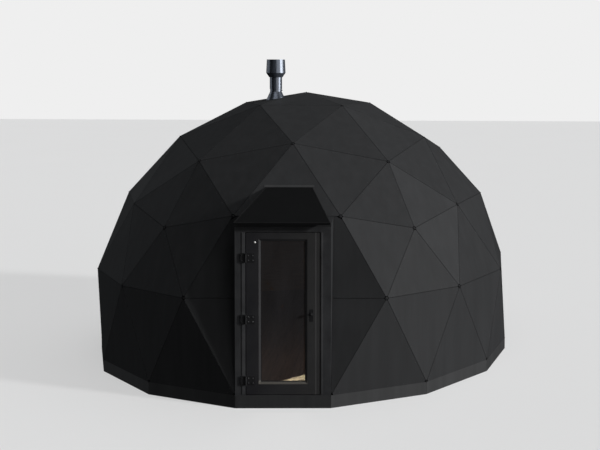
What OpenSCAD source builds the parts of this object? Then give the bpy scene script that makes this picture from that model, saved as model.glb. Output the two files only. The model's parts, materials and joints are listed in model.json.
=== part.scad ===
// Geodesic dome cabin: a three-frequency dome with a level base ring, clad in flat
// triangular panels on a strut and hub frame, with a box doorway, an awning, a glazed
// door and a flue. Millimetres, +Z up, origin on the ground under the crown, door at -Y.

/* [Dome] */
// Radius of the sphere that every outer panel corner lies on
sphere_r = 3000; // [2700:10:3400]
// Height of the riser band that the dome stands on
riser_h = 155; // [120:1:240]
// Thickness of the riser panels
riser_t = 40; // [30:1:60]

/* [Wall] */
// Thickness of the outer cladding panels
clad_t = 18; // [12:1:24]
// Depth of the struts between cladding and lining
strut_d = 90; // [70:1:120]
// Width of a strut
strut_w = 45; // [38:1:50]
// Thickness of the inner lining panels
lining_t = 12; // [9:1:20]
// Open seam between neighbouring cladding panels
seam_w = 6; // [3:1:10]
// Open seam between neighbouring lining panels
lining_seam = 2; // [1:0.5:4]
// Distance from a hub's axis to the clipped corners of the panels round it
corner_clip = 26; // [22:1:32]
// Clearance between two pieces that seat on each other
seat = 0.3; // [0.2:0.05:0.5]

/* [Hubs] */
// Radius of a hub
hub_r = 56; // [54:1:62]
// Radius of the cap that shows where the panel corners are clipped
cap_r = 17; // [12:1:20]
// Depth of the cap's face below the corner point of the sphere
cap_sink = 5; // [3:0.5:10]

/* [Floor] */
// Thickness of the floor boards
deck_t = 22; // [18:1:30]

/* [Doorway] */
// Width of a door jamb's face
jamb_w = 127; // [80:1:140]
// Depth of the door frame
jamb_d = 92; // [84:1:110]
// Height of the door head's face
head_h = 58; // [40:1:90]
// Thickness of the doorway's roof
box_t = 30; // [24:1:40]
// Thickness of the doorway's side walls
side_t = 60; // [40:1:80]
// Thickness of the threshold bar
threshold_t = 5; // [4:1:6]
// Width and depth of the stops that the leaf closes against
stop_w = 15; // [10:1:20]
// Play between the closed leaf and its stops
stop_play = 6; // [5:1:8]

/* [Awning] */
// Distance from the hub line over the door up to the awning's top edge, along the panel
awning_up = 412; // [380:1:460]
// Width of the awning's top edge
awning_top_w = 588; // [480:1:620]
// Width of the awning's front edge
awning_front_w = 1146; // [1000:1:1180]
// Thickness of the awning's sides
awning_side_t = 16; // [12:1:30]
// Distance of the awning's sides in from its edges
awning_inset = 6; // [4:1:20]
// Distance that the awning stands out in front of the door frame
awning_out = 105; // [50:1:180]
// Height of the awning's lower front edge above the doorway's roof
awning_lift = 12; // [4:1:20]
// Thickness of the awning
awning_t = 22; // [16:1:30]

/* [Door] */
// Height of the door leaf
leaf_h = 1952; // [1850:1:2000]
// Thickness of the door leaf
leaf_t = 54; // [44:1:54]
// Gap round the door leaf
leaf_gap = 8; // [6:1:10]
// Width of the leaf's two stiles
stile_w = 145; // [110:1:160]
// Height of the leaf's bottom rail
bottom_rail = 123; // [90:1:200]
// Height of the leaf's top rail
top_rail = 73; // [60:1:140]
// Thickness of the glass unit
glass_t = 24; // [18:1:28]
// Width of the beads that hold the glass
bead_w = 28; // [16:1:34]
// Width of a bead's flat face beside its bevel
bead_land = 4; // [2:1:8]
// Width of the low lip along the leaf's closing edge
lip_w = 40; // [20:1:50]
// Depth of that lip below the leaf's face
lip_d = 3; // [2:0.5:12]
// Width of the bevel down to the lip
lip_bevel = 14; // [6:1:20]
// Radius of the hinge knuckles
knuckle_r = 11; // [9:0.5:13]
// Height of a hinge
hinge_h = 108; // [80:1:120]
// Distance from the leaf's foot to the middle of the lowest hinge
hinge_foot = 168; // [140:1:300]
// Distance from the leaf's top to the middle of the highest hinge
hinge_top = 304; // [140:1:400]
// Length of a hinge's strap on the leaf
strap_w = 100; // [60:1:110]
// Length of a hinge's block on the jamb
block_w = 60; // [40:1:80]
// Thickness of a hinge's block
block_t = 14; // [8:1:14]
// Thickness of a hinge's strap and of the foot of its block
plate_t = 5; // [4:0.5:6]
// Height of the door knob above the leaf's bottom edge
knob_z = 972; // [850:1:1100]
// Distance from the leaf's closing edge to the middle of the door knob
knob_in = 101; // [90:1:120]
// Radius of the door knob
knob_r = 19; // [15:1:26]

/* [Flue] */
// Outer radius of the flue's insulated casing
flue_r = 89; // [85:1:100]
// Outer radius of the inner pipe, which passes through the roof
neck_r = 66.5; // [55:0.5:68]
// Wall of the inner pipe
flue_wall = 4; // [3:0.5:8]
// Place of the flue to the left of the crown
flue_x = 434; // [400:1:500]
// Place of the flue in front of the crown
flue_y = 100; // [40:1:200]
// Height of the flue's top above the crown
flue_top = 475; // [420:1:700]
// Radius of the locking band under the casing
band_r = 84; // [78:1:84]
// Height of the locking band
band_h = 36; // [24:1:60]
// Length of the lug that closes the band
lug = 10; // [6:1:16]
// Radius of the cowl's drum at its foot
cowl_r = 140; // [125:1:150]
// Radius of the cowl's drum at its top
cowl_top_r = 131; // [122:1:150]
// Height of the cowl's drum
cowl_h = 195; // [150:1:240]
// Height of the cowl's taper down to the casing
cowl_taper = 64; // [40:1:80]
// Thickness of the cowl's walls and lid
cowl_sheet = 4; // [3:0.5:6]
// Rim of the cowl's taper round the casing
cowl_rim = 8; // [6:1:12]
// Open gap between the lid and the drum
lid_gap = 24; // [12:1:30]
// Depth of the lid's edge below the drum's top
lid_drop = 30; // [24:1:60]
// Rise of the lid to its middle
lid_rise = 14; // [8:1:20]
// Radius of the boot where its axis meets the cladding
boot_r = 129; // [110:1:150]
// Radius of the boot at its top
boot_top_r = 84; // [84:1:110]
// Height of the boot above the cladding
boot_h = 98; // [60:1:100]
// Width of the flange round the boot
flange_w = 24; // [15:1:40]
// Thickness of that flange
flange_t = 3; // [2:0.5:5]

/* [Hidden] */
$fn = 48;

CLAD = "#1e1f21";
STEEL = "#141415";
TIMBER = "#b98f5f";
PLY = "#d8b98c";
BOARDS = "#8a5a3a";
GLASS = "#3a4650";

wall_t = clad_t + strut_d + lining_t;
lining_depth = clad_t + strut_d;
big = 4 * sphere_r;

// ---- the sphere: hub directions, ring by ring -------------------------------------

// Angle at the centre along an icosahedron's edge, and from its crown to its next five corners
edge_arc = atan(2);

function unit(v) = v / norm(v);
// Direction at an angle from the crown, turned az degrees from the door towards +X
function aim(down, az) = [sin(down) * sin(az), -sin(down) * cos(az), cos(down)];
// Direction t degrees of the way along the great circle from a to b
function along(a, b, t) = (sin(edge_arc - t) * a + sin(t) * b) / sin(edge_arc);

crown = [0, 0, 1];
function upper(k) = aim(edge_arc, 72 * k - 36);
function lower(k) = aim(180 - edge_arc, 72 * k);

// The middle hub of a face that stands on the base; every base hub is brought to its level
base_level = unit(upper(0) + lower(-1) + lower(0)).z;
// Arc from a five-way hub to the next hub that makes the base ring level
first_arc = edge_arc / 2 - asin(-base_level / cos(edge_arc / 2));

directions = [
    [crown],
    [for (k = [0:4]) along(crown, upper(k), first_arc)],
    [for (k = [0:4]) each [along(upper(k), crown, first_arc), unit(crown + upper(k) + upper(k + 1))]],
    [for (k = [0:4]) each [upper(k), along(upper(k), upper(k + 1), first_arc),
                           along(upper(k + 1), upper(k), first_arc)]],
    [for (k = [0:4]) each [along(upper(k), lower(k - 1), first_arc), along(upper(k), lower(k), first_arc),
                           unit(upper(k) + upper(k + 1) + lower(k))]],
    [for (k = [0:4]) each [unit(upper(k) + lower(k - 1) + lower(k)), along(lower(k), upper(k), first_arc),
                           along(lower(k), upper(k + 1), first_arc)]]
];

centre_h = riser_h - sphere_r * base_level;
centre = [0, 0, centre_h];

// Outer corner point of hub i on ring r; indexes wrap round the ring
function hub(r, i) = let (n = len(directions[r]))
    centre + sphere_r * directions[r][(i + n) % n];

// ---- panels: every one is a [ring, index] triple, anticlockwise from outside --------

function crown_tris() = [for (k = [0:4]) [[0, 0], [1, k], [1, k + 1]]];
function upper_tris() = [for (k = [0:4]) each [
    [[1, k], [2, 2*k], [2, 2*k + 1]], [[1, k], [2, 2*k + 1], [1, k + 1]],
    [[1, k + 1], [2, 2*k + 1], [2, 2*k + 2]]]];
function shoulder_tris() = [for (k = [0:4]) each [
    [[2, 2*k], [3, 3*k], [3, 3*k + 1]], [[2, 2*k], [3, 3*k + 1], [2, 2*k + 1]],
    [[2, 2*k + 1], [3, 3*k + 1], [3, 3*k + 2]], [[2, 2*k + 1], [3, 3*k + 2], [2, 2*k + 2]],
    [[2, 2*k + 2], [3, 3*k + 2], [3, 3*k + 3]]]];
// The six panels round the front hub of ring four are left out for the doorway
function middle_tris() = [for (k = [0:4]) each concat([
    [[3, 3*k], [4, 3*k], [4, 3*k + 1]], [[3, 3*k], [4, 3*k + 1], [3, 3*k + 1]],
    [[3, 3*k + 2], [4, 3*k + 3], [3, 3*k + 3]]],
    k == 0 ? [] : [
    [[3, 3*k + 1], [4, 3*k + 1], [4, 3*k + 2]], [[3, 3*k + 1], [4, 3*k + 2], [3, 3*k + 2]],
    [[3, 3*k + 2], [4, 3*k + 2], [4, 3*k + 3]]])];
function base_tris() = [for (k = [0:4]) each concat([
    [[4, 3*k], [5, 3*k - 1], [5, 3*k]], [[4, 3*k], [5, 3*k], [4, 3*k + 1]],
    [[4, 3*k + 1], [5, 3*k], [5, 3*k + 1]]],
    k == 0 ? [] : [
    [[4, 3*k + 1], [5, 3*k + 1], [4, 3*k + 2]], [[4, 3*k + 2], [5, 3*k + 1], [5, 3*k + 2]],
    [[4, 3*k + 2], [5, 3*k + 2], [4, 3*k + 3]]])];

function corners(tri) = [for (v = tri) hub(v[0], v[1])];
function middle(points) = [for (j = [0:2]) [for (p = points) p[j]] * [for (p = points) 1] / len(points)];
function right_side(tri) = middle(corners(tri)).x > 0;

// ---- planes: [normal, offset], with normal * point = offset ------------------------

function meet(a, b, c) = (a[1] * cross(b[0], c[0]) + b[1] * cross(c[0], a[0]) + c[1] * cross(a[0], b[0]))
    / (a[0] * cross(b[0], c[0]));
// Plane of three points, its normal on the side from which they run anticlockwise
function plane(a, b, c) = let (n = unit(cross(b - a, c - a))) [n, n * a];
function shifted(p, d) = [p[0], p[1] + d];
function flipped(p) = [-p[0], -p[1]];
// Mitre plane through the centre and an edge, moved half a seam into the panel
function mitre(a, b, gap) = let (n = unit(cross(a - centre, b - centre))) [n, n * centre + gap / 2];
// Plane that clips corner p square to the bisector of its edges to a and b, parallel to the hub's axis
function clip(p, a, b, d) = let (r = unit(p - centre), g = unit(a - p) + unit(b - p),
    n = unit(g - (g * r) * r)) [n, n * p + d];
function on_base(v) = v[0] == 5;

// Side planes of a triangular panel: edge, clipped corner, edge, clipped corner, ...
function tri_sides(tri, gap, d) = let (c = corners(tri)) [
    for (i = [0:2]) each [
        on_base(tri[i]) && on_base(tri[(i + 1) % 3]) ? [[0, 0, 1], riser_h + seat]
            : mitre(c[i], c[(i + 1) % 3], gap),
        clip(c[(i + 1) % 3], c[i], c[(i + 2) % 3], d)]];

// A flat slab between two depths under a face plane, bounded by side planes in turn
module slab(sides, face, from, to) {
    m = len(sides);
    points = [for (d = [from, to]) for (i = [0:m - 1])
        meet(shifted(face, -d), sides[i], sides[(i + 1) % m])];
    polyhedron(points, concat(
        [[for (i = [m - 1:-1:0]) i], [for (i = [0:m - 1]) m + i]],
        [for (i = [0:m - 1]) [i, (i + 1) % m, m + (i + 1) % m, m + i]]));
}

module tri_panel(tri, gap, d, from, to) {
    c = corners(tri);
    slab(tri_sides(tri, gap, d), plane(c[0], c[1], c[2]), from, to);
}

module cladding(tris) {
    color(CLAD) for (t = tris) tri_panel(t, seam_w, corner_clip, 0, clad_t);
}
module lining(tris) {
    color(PLY) for (t = tris) tri_panel(t, lining_seam, corner_clip, lining_depth, wall_t);
}
function side_of(tris, right) = [for (t = tris) if (right_side(t) == right) t];

// ---- the flue's place, needed by the roof panel that it passes through ---------------

flue_at = [-flue_x, -flue_y];
flue_face = plane(hub(0, 0), hub(1, 4), hub(1, 0));
flue_foot = meet(flue_face, [[1, 0, 0], flue_at.x], [[0, 1, 0], flue_at.y]);
module flue_hole() {
    translate([flue_at.x, flue_at.y, flue_foot.z - 2 * wall_t]) cylinder(r = neck_r + seat, h = 4 * wall_t);
}

module crown_panels() { difference() { cladding(crown_tris()); flue_hole(); } }
module upper_panels() { cladding(upper_tris()); }
module shoulder_panels(right) { cladding(side_of(shoulder_tris(), right)); }
module middle_panels(right) { cladding(side_of(middle_tris(), right)); }
module base_panels(right) { cladding(side_of(base_tris(), right)); }
module crown_lining() { difference() { lining(crown_tris()); flue_hole(); } }
module upper_lining() { lining(upper_tris()); }
module shoulder_lining() { lining(shoulder_tris()); }
module middle_lining() { lining(middle_tris()); }
module base_lining() { difference() { lining(base_tris()); doorway_void(); } }
// The doorway's own space, which trims what runs up against its sides
module doorway_void() {
    translate([-box_half - seat, door_y, riser_h])
        cube([2 * (box_half + seat), 5 * wall_t, lintel_low - riser_h]);
}

// ---- struts and hubs ----------------------------------------------------------------

// A strut from corner a to corner b: a bar along the edge with a ridged top that follows
// the two panels that meet on it, and ends cut parallel to the axes of its hubs.
// left and right are those panels' face planes, end_a and end_b the planes of its ends.
module strut(a, b, left, right, end_a, end_b) {
    along_edge = unit(b - a);
    out = unit((a + b) / 2 - centre - ((a + b) / 2 - centre) * along_edge * along_edge);
    across = cross(out, along_edge);
    // Index 0 is the right side of the way from a to b, index 1 the left
    sides = [[across, across * a - strut_w / 2], [across, across * a + strut_w / 2]];
    ridge = [across, across * a];
    tops = [shifted(right, -clad_t - seat), shifted(left, -clad_t - seat)];
    steep = max(left[0] * out, right[0] * out);
    bottom = [out, out * a - (lining_depth - seat) / steep];
    rings = [for (end = [end_a, end_b]) each [
        meet(end, bottom, sides[0]), meet(end, bottom, sides[1]),
        meet(end, tops[1], sides[1]),
        min_along(meet(end, tops[0], ridge), meet(end, tops[1], ridge), out),
        meet(end, tops[0], sides[0])]];
    polyhedron(rings, concat(
        [[for (i = [0:4]) i], [for (i = [4:-1:0]) 5 + i]],
        [for (i = [0:4]) [i, 5 + i, 5 + (i + 1) % 5, (i + 1) % 5]]));
}
function min_along(p, q, v) = p * v < q * v ? p : q;

// End plane of a strut at hub p, on the side towards q, parallel to the hub's axis
function hub_end(p, q) = let (r = unit(p - centre), g = q - p, n = unit(g - (g * r) * r))
    [n, n * p + hub_r + seat];

module edge_strut(u, v, w_left, w_right) {
    a = hub(u[0], u[1]);
    b = hub(v[0], v[1]);
    strut(a, b, plane(a, b, w_left), plane(b, a, w_right), hub_end(a, b), hub_end(b, a));
}

// Every strut names its two hubs, and the far corner of the panel to its left and to its right
module upper_struts() {
    color(TIMBER) for (k = [0:4]) {
        edge_strut([0, 0], [1, k], hub(1, k + 1), hub(1, k - 1));
        edge_strut([1, k], [1, k + 1], hub(0, 0), hub(2, 2*k + 1));
        edge_strut([1, k], [2, 2*k - 1], hub(2, 2*k), hub(1, k - 1));
        edge_strut([1, k], [2, 2*k], hub(2, 2*k + 1), hub(2, 2*k - 1));
        edge_strut([1, k], [2, 2*k + 1], hub(1, k + 1), hub(2, 2*k));
        edge_strut([2, 2*k], [2, 2*k + 1], hub(1, k), hub(3, 3*k + 1));
        edge_strut([2, 2*k + 1], [2, 2*k + 2], hub(1, k + 1), hub(3, 3*k + 2));
    }
}
module shoulder_struts() {
    color(TIMBER) for (k = [0:4]) {
        edge_strut([2, 2*k], [3, 3*k - 1], hub(3, 3*k), hub(2, 2*k - 1));
        edge_strut([2, 2*k], [3, 3*k], hub(3, 3*k + 1), hub(3, 3*k - 1));
        edge_strut([2, 2*k], [3, 3*k + 1], hub(2, 2*k + 1), hub(3, 3*k));
        edge_strut([2, 2*k + 1], [3, 3*k + 1], hub(3, 3*k + 2), hub(2, 2*k));
        edge_strut([2, 2*k + 1], [3, 3*k + 2], hub(2, 2*k + 2), hub(3, 3*k + 1));
        edge_strut([3, 3*k], [3, 3*k + 1], hub(2, 2*k), hub(4, 3*k + 1));
        // Over the door the lower neighbour is the doorway's own plane
        edge_strut([3, 3*k + 1], [3, 3*k + 2], hub(2, 2*k + 1), k == 0 ? hub(4, 1) : hub(4, 3*k + 2));
        edge_strut([3, 3*k + 2], [3, 3*k + 3], hub(2, 2*k + 2), hub(4, 3*k + 3));
    }
}
module middle_struts() {
    color(TIMBER) door_transoms();
    color(TIMBER) for (k = [0:4]) {
        edge_strut([3, 3*k - 1], [4, 3*k], hub(3, 3*k), k == 1 ? hub(3, 1) : hub(4, 3*k - 1));
        edge_strut([3, 3*k], [4, 3*k], hub(4, 3*k + 1), hub(3, 3*k - 1));
        edge_strut([3, 3*k], [4, 3*k + 1], hub(3, 3*k + 1), hub(4, 3*k));
        edge_strut([3, 3*k + 1], [4, 3*k + 1], k == 0 ? hub(3, 2) : hub(4, 3*k + 2), hub(3, 3*k));
        edge_strut([4, 3*k], [4, 3*k + 1], hub(3, 3*k), hub(5, 3*k));
        if (k > 0) {
            edge_strut([3, 3*k + 1], [4, 3*k + 2], hub(3, 3*k + 2), hub(4, 3*k + 1));
            edge_strut([3, 3*k + 2], [4, 3*k + 2], hub(4, 3*k + 3), hub(3, 3*k + 1));
            edge_strut([4, 3*k + 1], [4, 3*k + 2], hub(3, 3*k + 1), hub(5, 3*k + 1));
            edge_strut([4, 3*k + 2], [4, 3*k + 3], hub(3, 3*k + 2), hub(5, 3*k + 2));
        }
    }
}
module base_struts() {
    color(TIMBER) difference() {
        base_studs();
        doorway_void();
    }
}
module base_studs() {
    for (k = [0:4]) {
        edge_strut([4, 3*k], [5, 3*k - 1], hub(5, 3*k), k == 1 ? hub(4, 1) : hub(4, 3*k - 1));
        edge_strut([4, 3*k], [5, 3*k], hub(4, 3*k + 1), hub(5, 3*k - 1));
        edge_strut([4, 3*k + 1], [5, 3*k], hub(5, 3*k + 1), hub(4, 3*k));
        edge_strut([4, 3*k + 1], [5, 3*k + 1], k == 0 ? hub(4, 3) : hub(4, 3*k + 2), hub(5, 3*k));
        if (k > 0) {
            edge_strut([4, 3*k + 2], [5, 3*k + 1], hub(5, 3*k + 2), hub(4, 3*k + 1));
            edge_strut([4, 3*k + 2], [5, 3*k + 2], hub(4, 3*k + 3), hub(5, 3*k + 1));
        }
    }
}

// Sole plates: the struts of the base ring, laid flat on the riser band
sole_h = 38;
module sole_plates() {
    color(TIMBER) for (i = [0:14]) if (i != 1) {
        a = hub(5, i);
        b = hub(5, i + 1);
        sole_plate(a, b, base_face(i));
    }
}
// Face plane of the panel that stands on base edge i
function base_face(i) = let (t = [for (t = base_tris()) if (has_edge(t, i)) t][0], c = corners(t))
    plane(c[0], c[1], c[2]);
function on_edge(v, i) = let (k = (v[1] + 15) % 15) on_base(v) && (k == i || k == (i + 1) % 15);
function has_edge(t, i) = len([for (v = t) if (on_edge(v, i)) 1]) == 2;
module sole_plate(a, b, face) {
    slab([[[0, 0, 1], riser_h + seat], hub_end(b, a), flipped([[0, 0, 1], riser_h + sole_h]), hub_end(a, b)],
         face, clad_t + seat, lining_depth - seat);
}

// A hub: a drum on the sphere's radius with a cone that clears the panels and a small cap
hub_slope = tan(28);
module hub_solid(r, i) {
    p = hub(r, i);
    d = unit(p - centre);
    translate(p) rotate([0, acos(d.z), atan2(d.y, d.x)]) rotate_extrude() polygon([
        [0, -lining_depth + seat], [hub_r, -lining_depth + seat], [hub_r, -clad_t - hub_slope * hub_r],
        [cap_r, -clad_t - hub_slope * cap_r], [cap_r, -cap_sink], [0, -cap_sink]]);
}
// The doorway takes the place of the front hub of ring four and of the two base hubs under it
function in_doorway(r, i) = (r == 4 && i == 2) || (r == 5 && (i == 1 || i == 2));
module hubs() {
    color(STEEL) difference() {
        for (r = [0:5]) for (i = [0:len(directions[r]) - 1])
            if (!in_doorway(r, i)) hub_solid(r, i);
        translate([-big / 2, -big / 2, riser_h + seat - big]) cube(big);
    }
}

// ---- the doorway's planes --------------------------------------------------------------

door_y = hub(5, 2).y;
box_half = hub(5, 2).x;
top_r = hub(3, 2);
top_l = hub(3, 1);
mid_r = hub(4, 3);
mid_l = hub(4, 1);
foot_r = hub(5, 2);
foot_l = hub(5, 1);
// The six hubs round the doorway lie in one plane, which carries the cheeks
door_face = plane(foot_l, foot_r, top_r);
side_plane = [[1, 0, 0], box_half + seam_w / 2];

// One side's two flat cheeks, between the dome's panels and the doorway's side.
// The lower one ends in a point, blunted at the height tip above the riser band.
module cheeks(from, to, gap, tip) {
    inner = [box_half, mid_r.y, mid_r.z];
    over = [box_half, top_r.y, top_r.z];
    slab([mitre(inner, mid_r, gap), clip(mid_r, inner, top_r, corner_clip), mitre(mid_r, top_r, gap),
          clip(top_r, mid_r, over, corner_clip), mitre(top_r, over, gap), side_plane], door_face, from, to);
    slab([[[0, 0, 1], riser_h + tip], mitre(foot_r, mid_r, gap), clip(mid_r, foot_r, inner, corner_clip),
          mitre(mid_r, inner, gap), side_plane], door_face, from, to);
}
cheek_tip = 30;
lining_tip = 80;
module cheek_panels_right() { color(CLAD) cheeks(0, clad_t, seam_w, cheek_tip); }
module cheek_panels_left() { mirror([1, 0, 0]) cheek_panels_right(); }
module cheek_lining() {
    color(PLY) for (m = [0, 1]) mirror([m, 0, 0]) cheeks(lining_depth, wall_t, lining_seam, lining_tip);
}
// Short transoms from the middle hubs to the doorway's sides, behind the cheeks' seam
module door_transoms() {
    inner = [box_half, mid_r.y, mid_r.z];
    line = mitre(inner, mid_r, 0);
    for (m = [0, 1]) mirror([m, 0, 0])
        slab([shifted(line, -strut_w / 2), hub_end(mid_r, mid_l), shifted(line, strut_w / 2),
              [[1, 0, 0], box_half + seat]], door_face, clad_t + seat, lining_depth - seat);
}

// ---- riser, floor -----------------------------------------------------------------------

// Base polygon moved in from its corners' lines by d
function base_corner(i, d) = let (a = hub(5, i - 1), b = hub(5, i), c = hub(5, i + 1),
    p = upright(a, b, d), q = upright(b, c, d)) meet(p, q, [[0, 0, 1], 0]);
function upright(a, b, d) = let (n = unit(cross([0, 0, 1], b - a))) [n, n * a + d];
function base_outline(d) = [for (i = [0:14]) let (p = base_corner(i, d)) [p.x, p.y]];

riser_seam = 3;
module riser_band() {
    color(CLAD) for (i = [0:14]) let (a = hub(5, i), b = hub(5, i + 1),
            a0 = base_corner(i, 0), b0 = base_corner(i + 1, 0),
            a1 = base_corner(i, riser_t), b1 = base_corner(i + 1, riser_t),
            s = unit(b - a) * riser_seam / 2)
        linear_extrude(riser_h) polygon([for (p = [a0 + s, b0 - s, b1 - s, a1 + s]) [p.x, p.y]]);
}
module floor_platform() {
    color(TIMBER) linear_extrude(riser_h - deck_t) polygon(base_outline(riser_t + seat));
}
module floor_deck() {
    color(BOARDS) translate([0, 0, riser_h - deck_t])
        linear_extrude(deck_t) polygon(base_outline(riser_t + seat));
}

// ---- the doorway: side boards, roof, frame ---------------------------------------------

// Point of a front-to-back section, where two planes that run along X cross
function section(a, b) = let (p = meet(a, b, [[1, 0, 0], 0])) [p.y, p.z];
front_plane = [[0, 1, 0], door_y];
frame_back = [[0, 1, 0], door_y + jamb_d];

leaf_foot = riser_h + threshold_t + leaf_gap;
leaf_top = leaf_foot + leaf_h;
leaf_half = box_half - jamb_w - leaf_gap;
head_foot = leaf_top + leaf_gap;
head_top = head_foot + head_h;

// The roof runs from the hub line over the door to the head. Where it falls forward it bears on
// the head's front edge, and where it falls back on the head's rear edge.
bearing_y = top_r.z > head_top + box_t ? door_y : door_y + jamb_d;
roof_bearing = [0, bearing_y, head_top + box_t + seat];
roof_top = plane([0, top_r.y, top_r.z], roof_bearing, roof_bearing + [1, 0, 0]);
roof_under = shifted(roof_top, -box_t * roof_top[0].z);
roof_front = section(roof_top, front_plane)[1];

// Underside of the strut over the door, which the side walls pass under
lintel_out = unit([0, top_r.y, top_r.z] - centre);
lintel_low = top_r.z - lining_depth / (lintel_out * door_face[0]) * lintel_out.z
    + strut_w / 2 * lintel_out.y;

module across_x(x0, x1, points) {
    translate([x0, 0, 0]) rotate([90, 0, 90]) linear_extrude(x1 - x0) polygon(points);
}
module box_side_right() {
    strut_side = shifted(door_face, -clad_t);
    back = shifted(door_face, -wall_t);
    under_lintel = [[0, 0, 1], lintel_low - seat];
    color(CLAD) across_x(box_half - side_t, box_half, [
        section(frame_back, [[0, 0, 1], riser_h + seat]), section(back, [[0, 0, 1], riser_h + seat]),
        section(back, under_lintel), section(strut_side, under_lintel),
        section(strut_side, shifted(roof_under, -seat)), section(frame_back, shifted(roof_under, -seat))]);
}
module box_side_left() { mirror([1, 0, 0]) box_side_right(); }
module box_roof() {
    over_door = mitre(top_r, top_l, seam_w);
    strut_side = shifted(door_face, -clad_t);
    color(CLAD) across_x(-box_half, box_half, [
        section(roof_top, front_plane), section(front_plane, roof_under),
        section(roof_under, strut_side), section(strut_side, over_door), section(over_door, roof_top)]);
}
module right_jamb() {
    color(STEEL) translate([leaf_half + leaf_gap, door_y, riser_h + seat])
        cube([jamb_w, jamb_d, head_foot - riser_h - 2 * seat]);
}
module left_jamb() { mirror([1, 0, 0]) right_jamb(); }
module door_head() {
    color(STEEL) across_x(-box_half, box_half, [
        [door_y, head_foot], [door_y + jamb_d, head_foot],
        section(frame_back, shifted(roof_under, -seat)), section(front_plane, shifted(roof_under, -seat))]);
}
module door_threshold() {
    color(STEEL) translate([-leaf_half - leaf_gap + seat, door_y, riser_h + seat])
        cube([2 * (leaf_half + leaf_gap - seat), jamb_d, threshold_t - seat]);
}
module door_stops() {
    y0 = door_y + leaf_t + stop_play;
    depth = jamb_d - leaf_t - stop_play;
    x1 = leaf_half + leaf_gap - seat;
    z0 = riser_h + threshold_t + seat;
    z1 = head_foot - seat;
    color(STEEL) {
        for (m = [0, 1]) mirror([m, 0, 0]) translate([x1 - leaf_gap - stop_w, y0, z0])
            cube([leaf_gap + stop_w, depth, z1 - z0]);
        translate([-x1 + leaf_gap + stop_w + seat, y0, z1 - leaf_gap - stop_w])
            cube([2 * (x1 - leaf_gap - stop_w - seat), depth, leaf_gap + stop_w]);
    }
}

// ---- the awning -------------------------------------------------------------------------

front_panel = plane(hub(2, 1), hub(3, 1), hub(3, 2));
panel_up = unit([0, hub(2, 1).y - top_r.y, hub(2, 1).z - top_r.z]);
awning_head = [0, top_r.y, top_r.z] + awning_up * panel_up;
awning_lip = [0, door_y - awning_out, roof_front + awning_lift + awning_t];
awning_corner = [awning_front_w / 2, awning_lip.y, awning_lip.z];
awning_back = [awning_top_w / 2, awning_head.y, awning_head.z];
awning_face = plane(awning_head, awning_lip, awning_corner);
// Upright plane along the awning's right edge, facing right
awning_side = let (g = awning_corner - awning_back, n = unit([-g.y, g.x, 0])) [n, n * awning_corner];
function mirrored(p) = [[-p[0].x, p[0].y, p[0].z], p[1]];
awning_seat = shifted(front_panel, seat);
awning_front = [[0, 1, 0], door_y - awning_out];

module awning_roof() {
    color(STEEL) slab([flipped(mirrored(awning_side)), awning_front, flipped(awning_side), awning_seat],
                      awning_face, 0, awning_t);
}
module awning_sides() {
    color(STEEL) for (m = [0, 1]) mirror([m, 0, 0])
        slab([
            shifted(roof_top, seat), shifted(front_panel, seat),
            flipped(shifted(awning_face, -awning_t - seat)),
              [[0, 1, 0], door_y]], awning_side, awning_inset, awning_inset + awning_side_t);
}

// ---- the door leaf -----------------------------------------------------------------------

pane_half = leaf_half - stile_w;
// The closing stile has a lower lip along its edge, with a bevel down to it
module leaf_stiles() {
    lip = leaf_half - lip_w;
    color(STEEL) translate([0, 0, leaf_foot]) linear_extrude(leaf_h) {
        translate([-leaf_half, door_y]) square([stile_w, leaf_t]);
        polygon([
            [pane_half, door_y], [lip - lip_bevel, door_y], [lip, door_y + lip_d],
            [leaf_half, door_y + lip_d], [leaf_half, door_y + leaf_t], [pane_half, door_y + leaf_t]]);
    }
}
pane_foot = leaf_foot + bottom_rail;
pane_top = leaf_top - top_rail;
module leaf_rails() {
    color(STEEL) for (z = [[leaf_foot, pane_foot], [pane_top, leaf_top]])
        translate([-pane_half + seat, door_y, z[0]]) cube([2 * (pane_half - seat), leaf_t, z[1] - z[0]]);
}
module door_glass() {
    color(GLASS, 0.4) translate([-pane_half + seat, door_y + (leaf_t - glass_t) / 2, pane_foot + seat])
        cube([2 * (pane_half - seat), glass_t, pane_top - pane_foot - 2 * seat]);
}
// A mitred ring round the pane's opening; a step is [distance in from the opening, depth]
module pane_ring(steps) {
    n = len(steps);
    points = [for (s = steps, c = [[-1, 0], [1, 0], [1, 1], [-1, 1]])
        [c.x * (pane_half - s[0]), door_y + s[1], c.y == 0 ? pane_foot + s[0] : pane_top - s[0]]];
    polyhedron(points, [for (i = [0:n - 1], j = [0:3]) let (k = (j + 1) % 4, m = (i + 1) % n)
        [4 * i + j, 4 * m + j, 4 * m + k, 4 * i + k]]);
}
// Bevelled beads hold the glass on both of its sides
module glazing_beads() {
    d = (leaf_t - glass_t) / 2 - seat;
    nose = 3;
    steps = [[seat, 0], [bead_land, 0], [bead_w, d - nose], [bead_w, d], [seat, d]];
    color(STEEL) {
        pane_ring(steps);
        translate([0, 2 * door_y + leaf_t, 0]) mirror([0, 1, 0]) pane_ring(steps);
    }
}

// Hinge axis: upright, in the gap at the left, in front of the leaf's face
axis_x = -leaf_half - leaf_gap / 2;
axis_y = door_y - plate_t - knuckle_r;
hinge_low = leaf_foot + hinge_foot;
hinge_high = leaf_top - hinge_top;
hinge_heights = [hinge_low, (hinge_low + hinge_high) / 2, hinge_high];
pin_r = 5;
pin_play = 0.1;
knuckle_play = 1;
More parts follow.
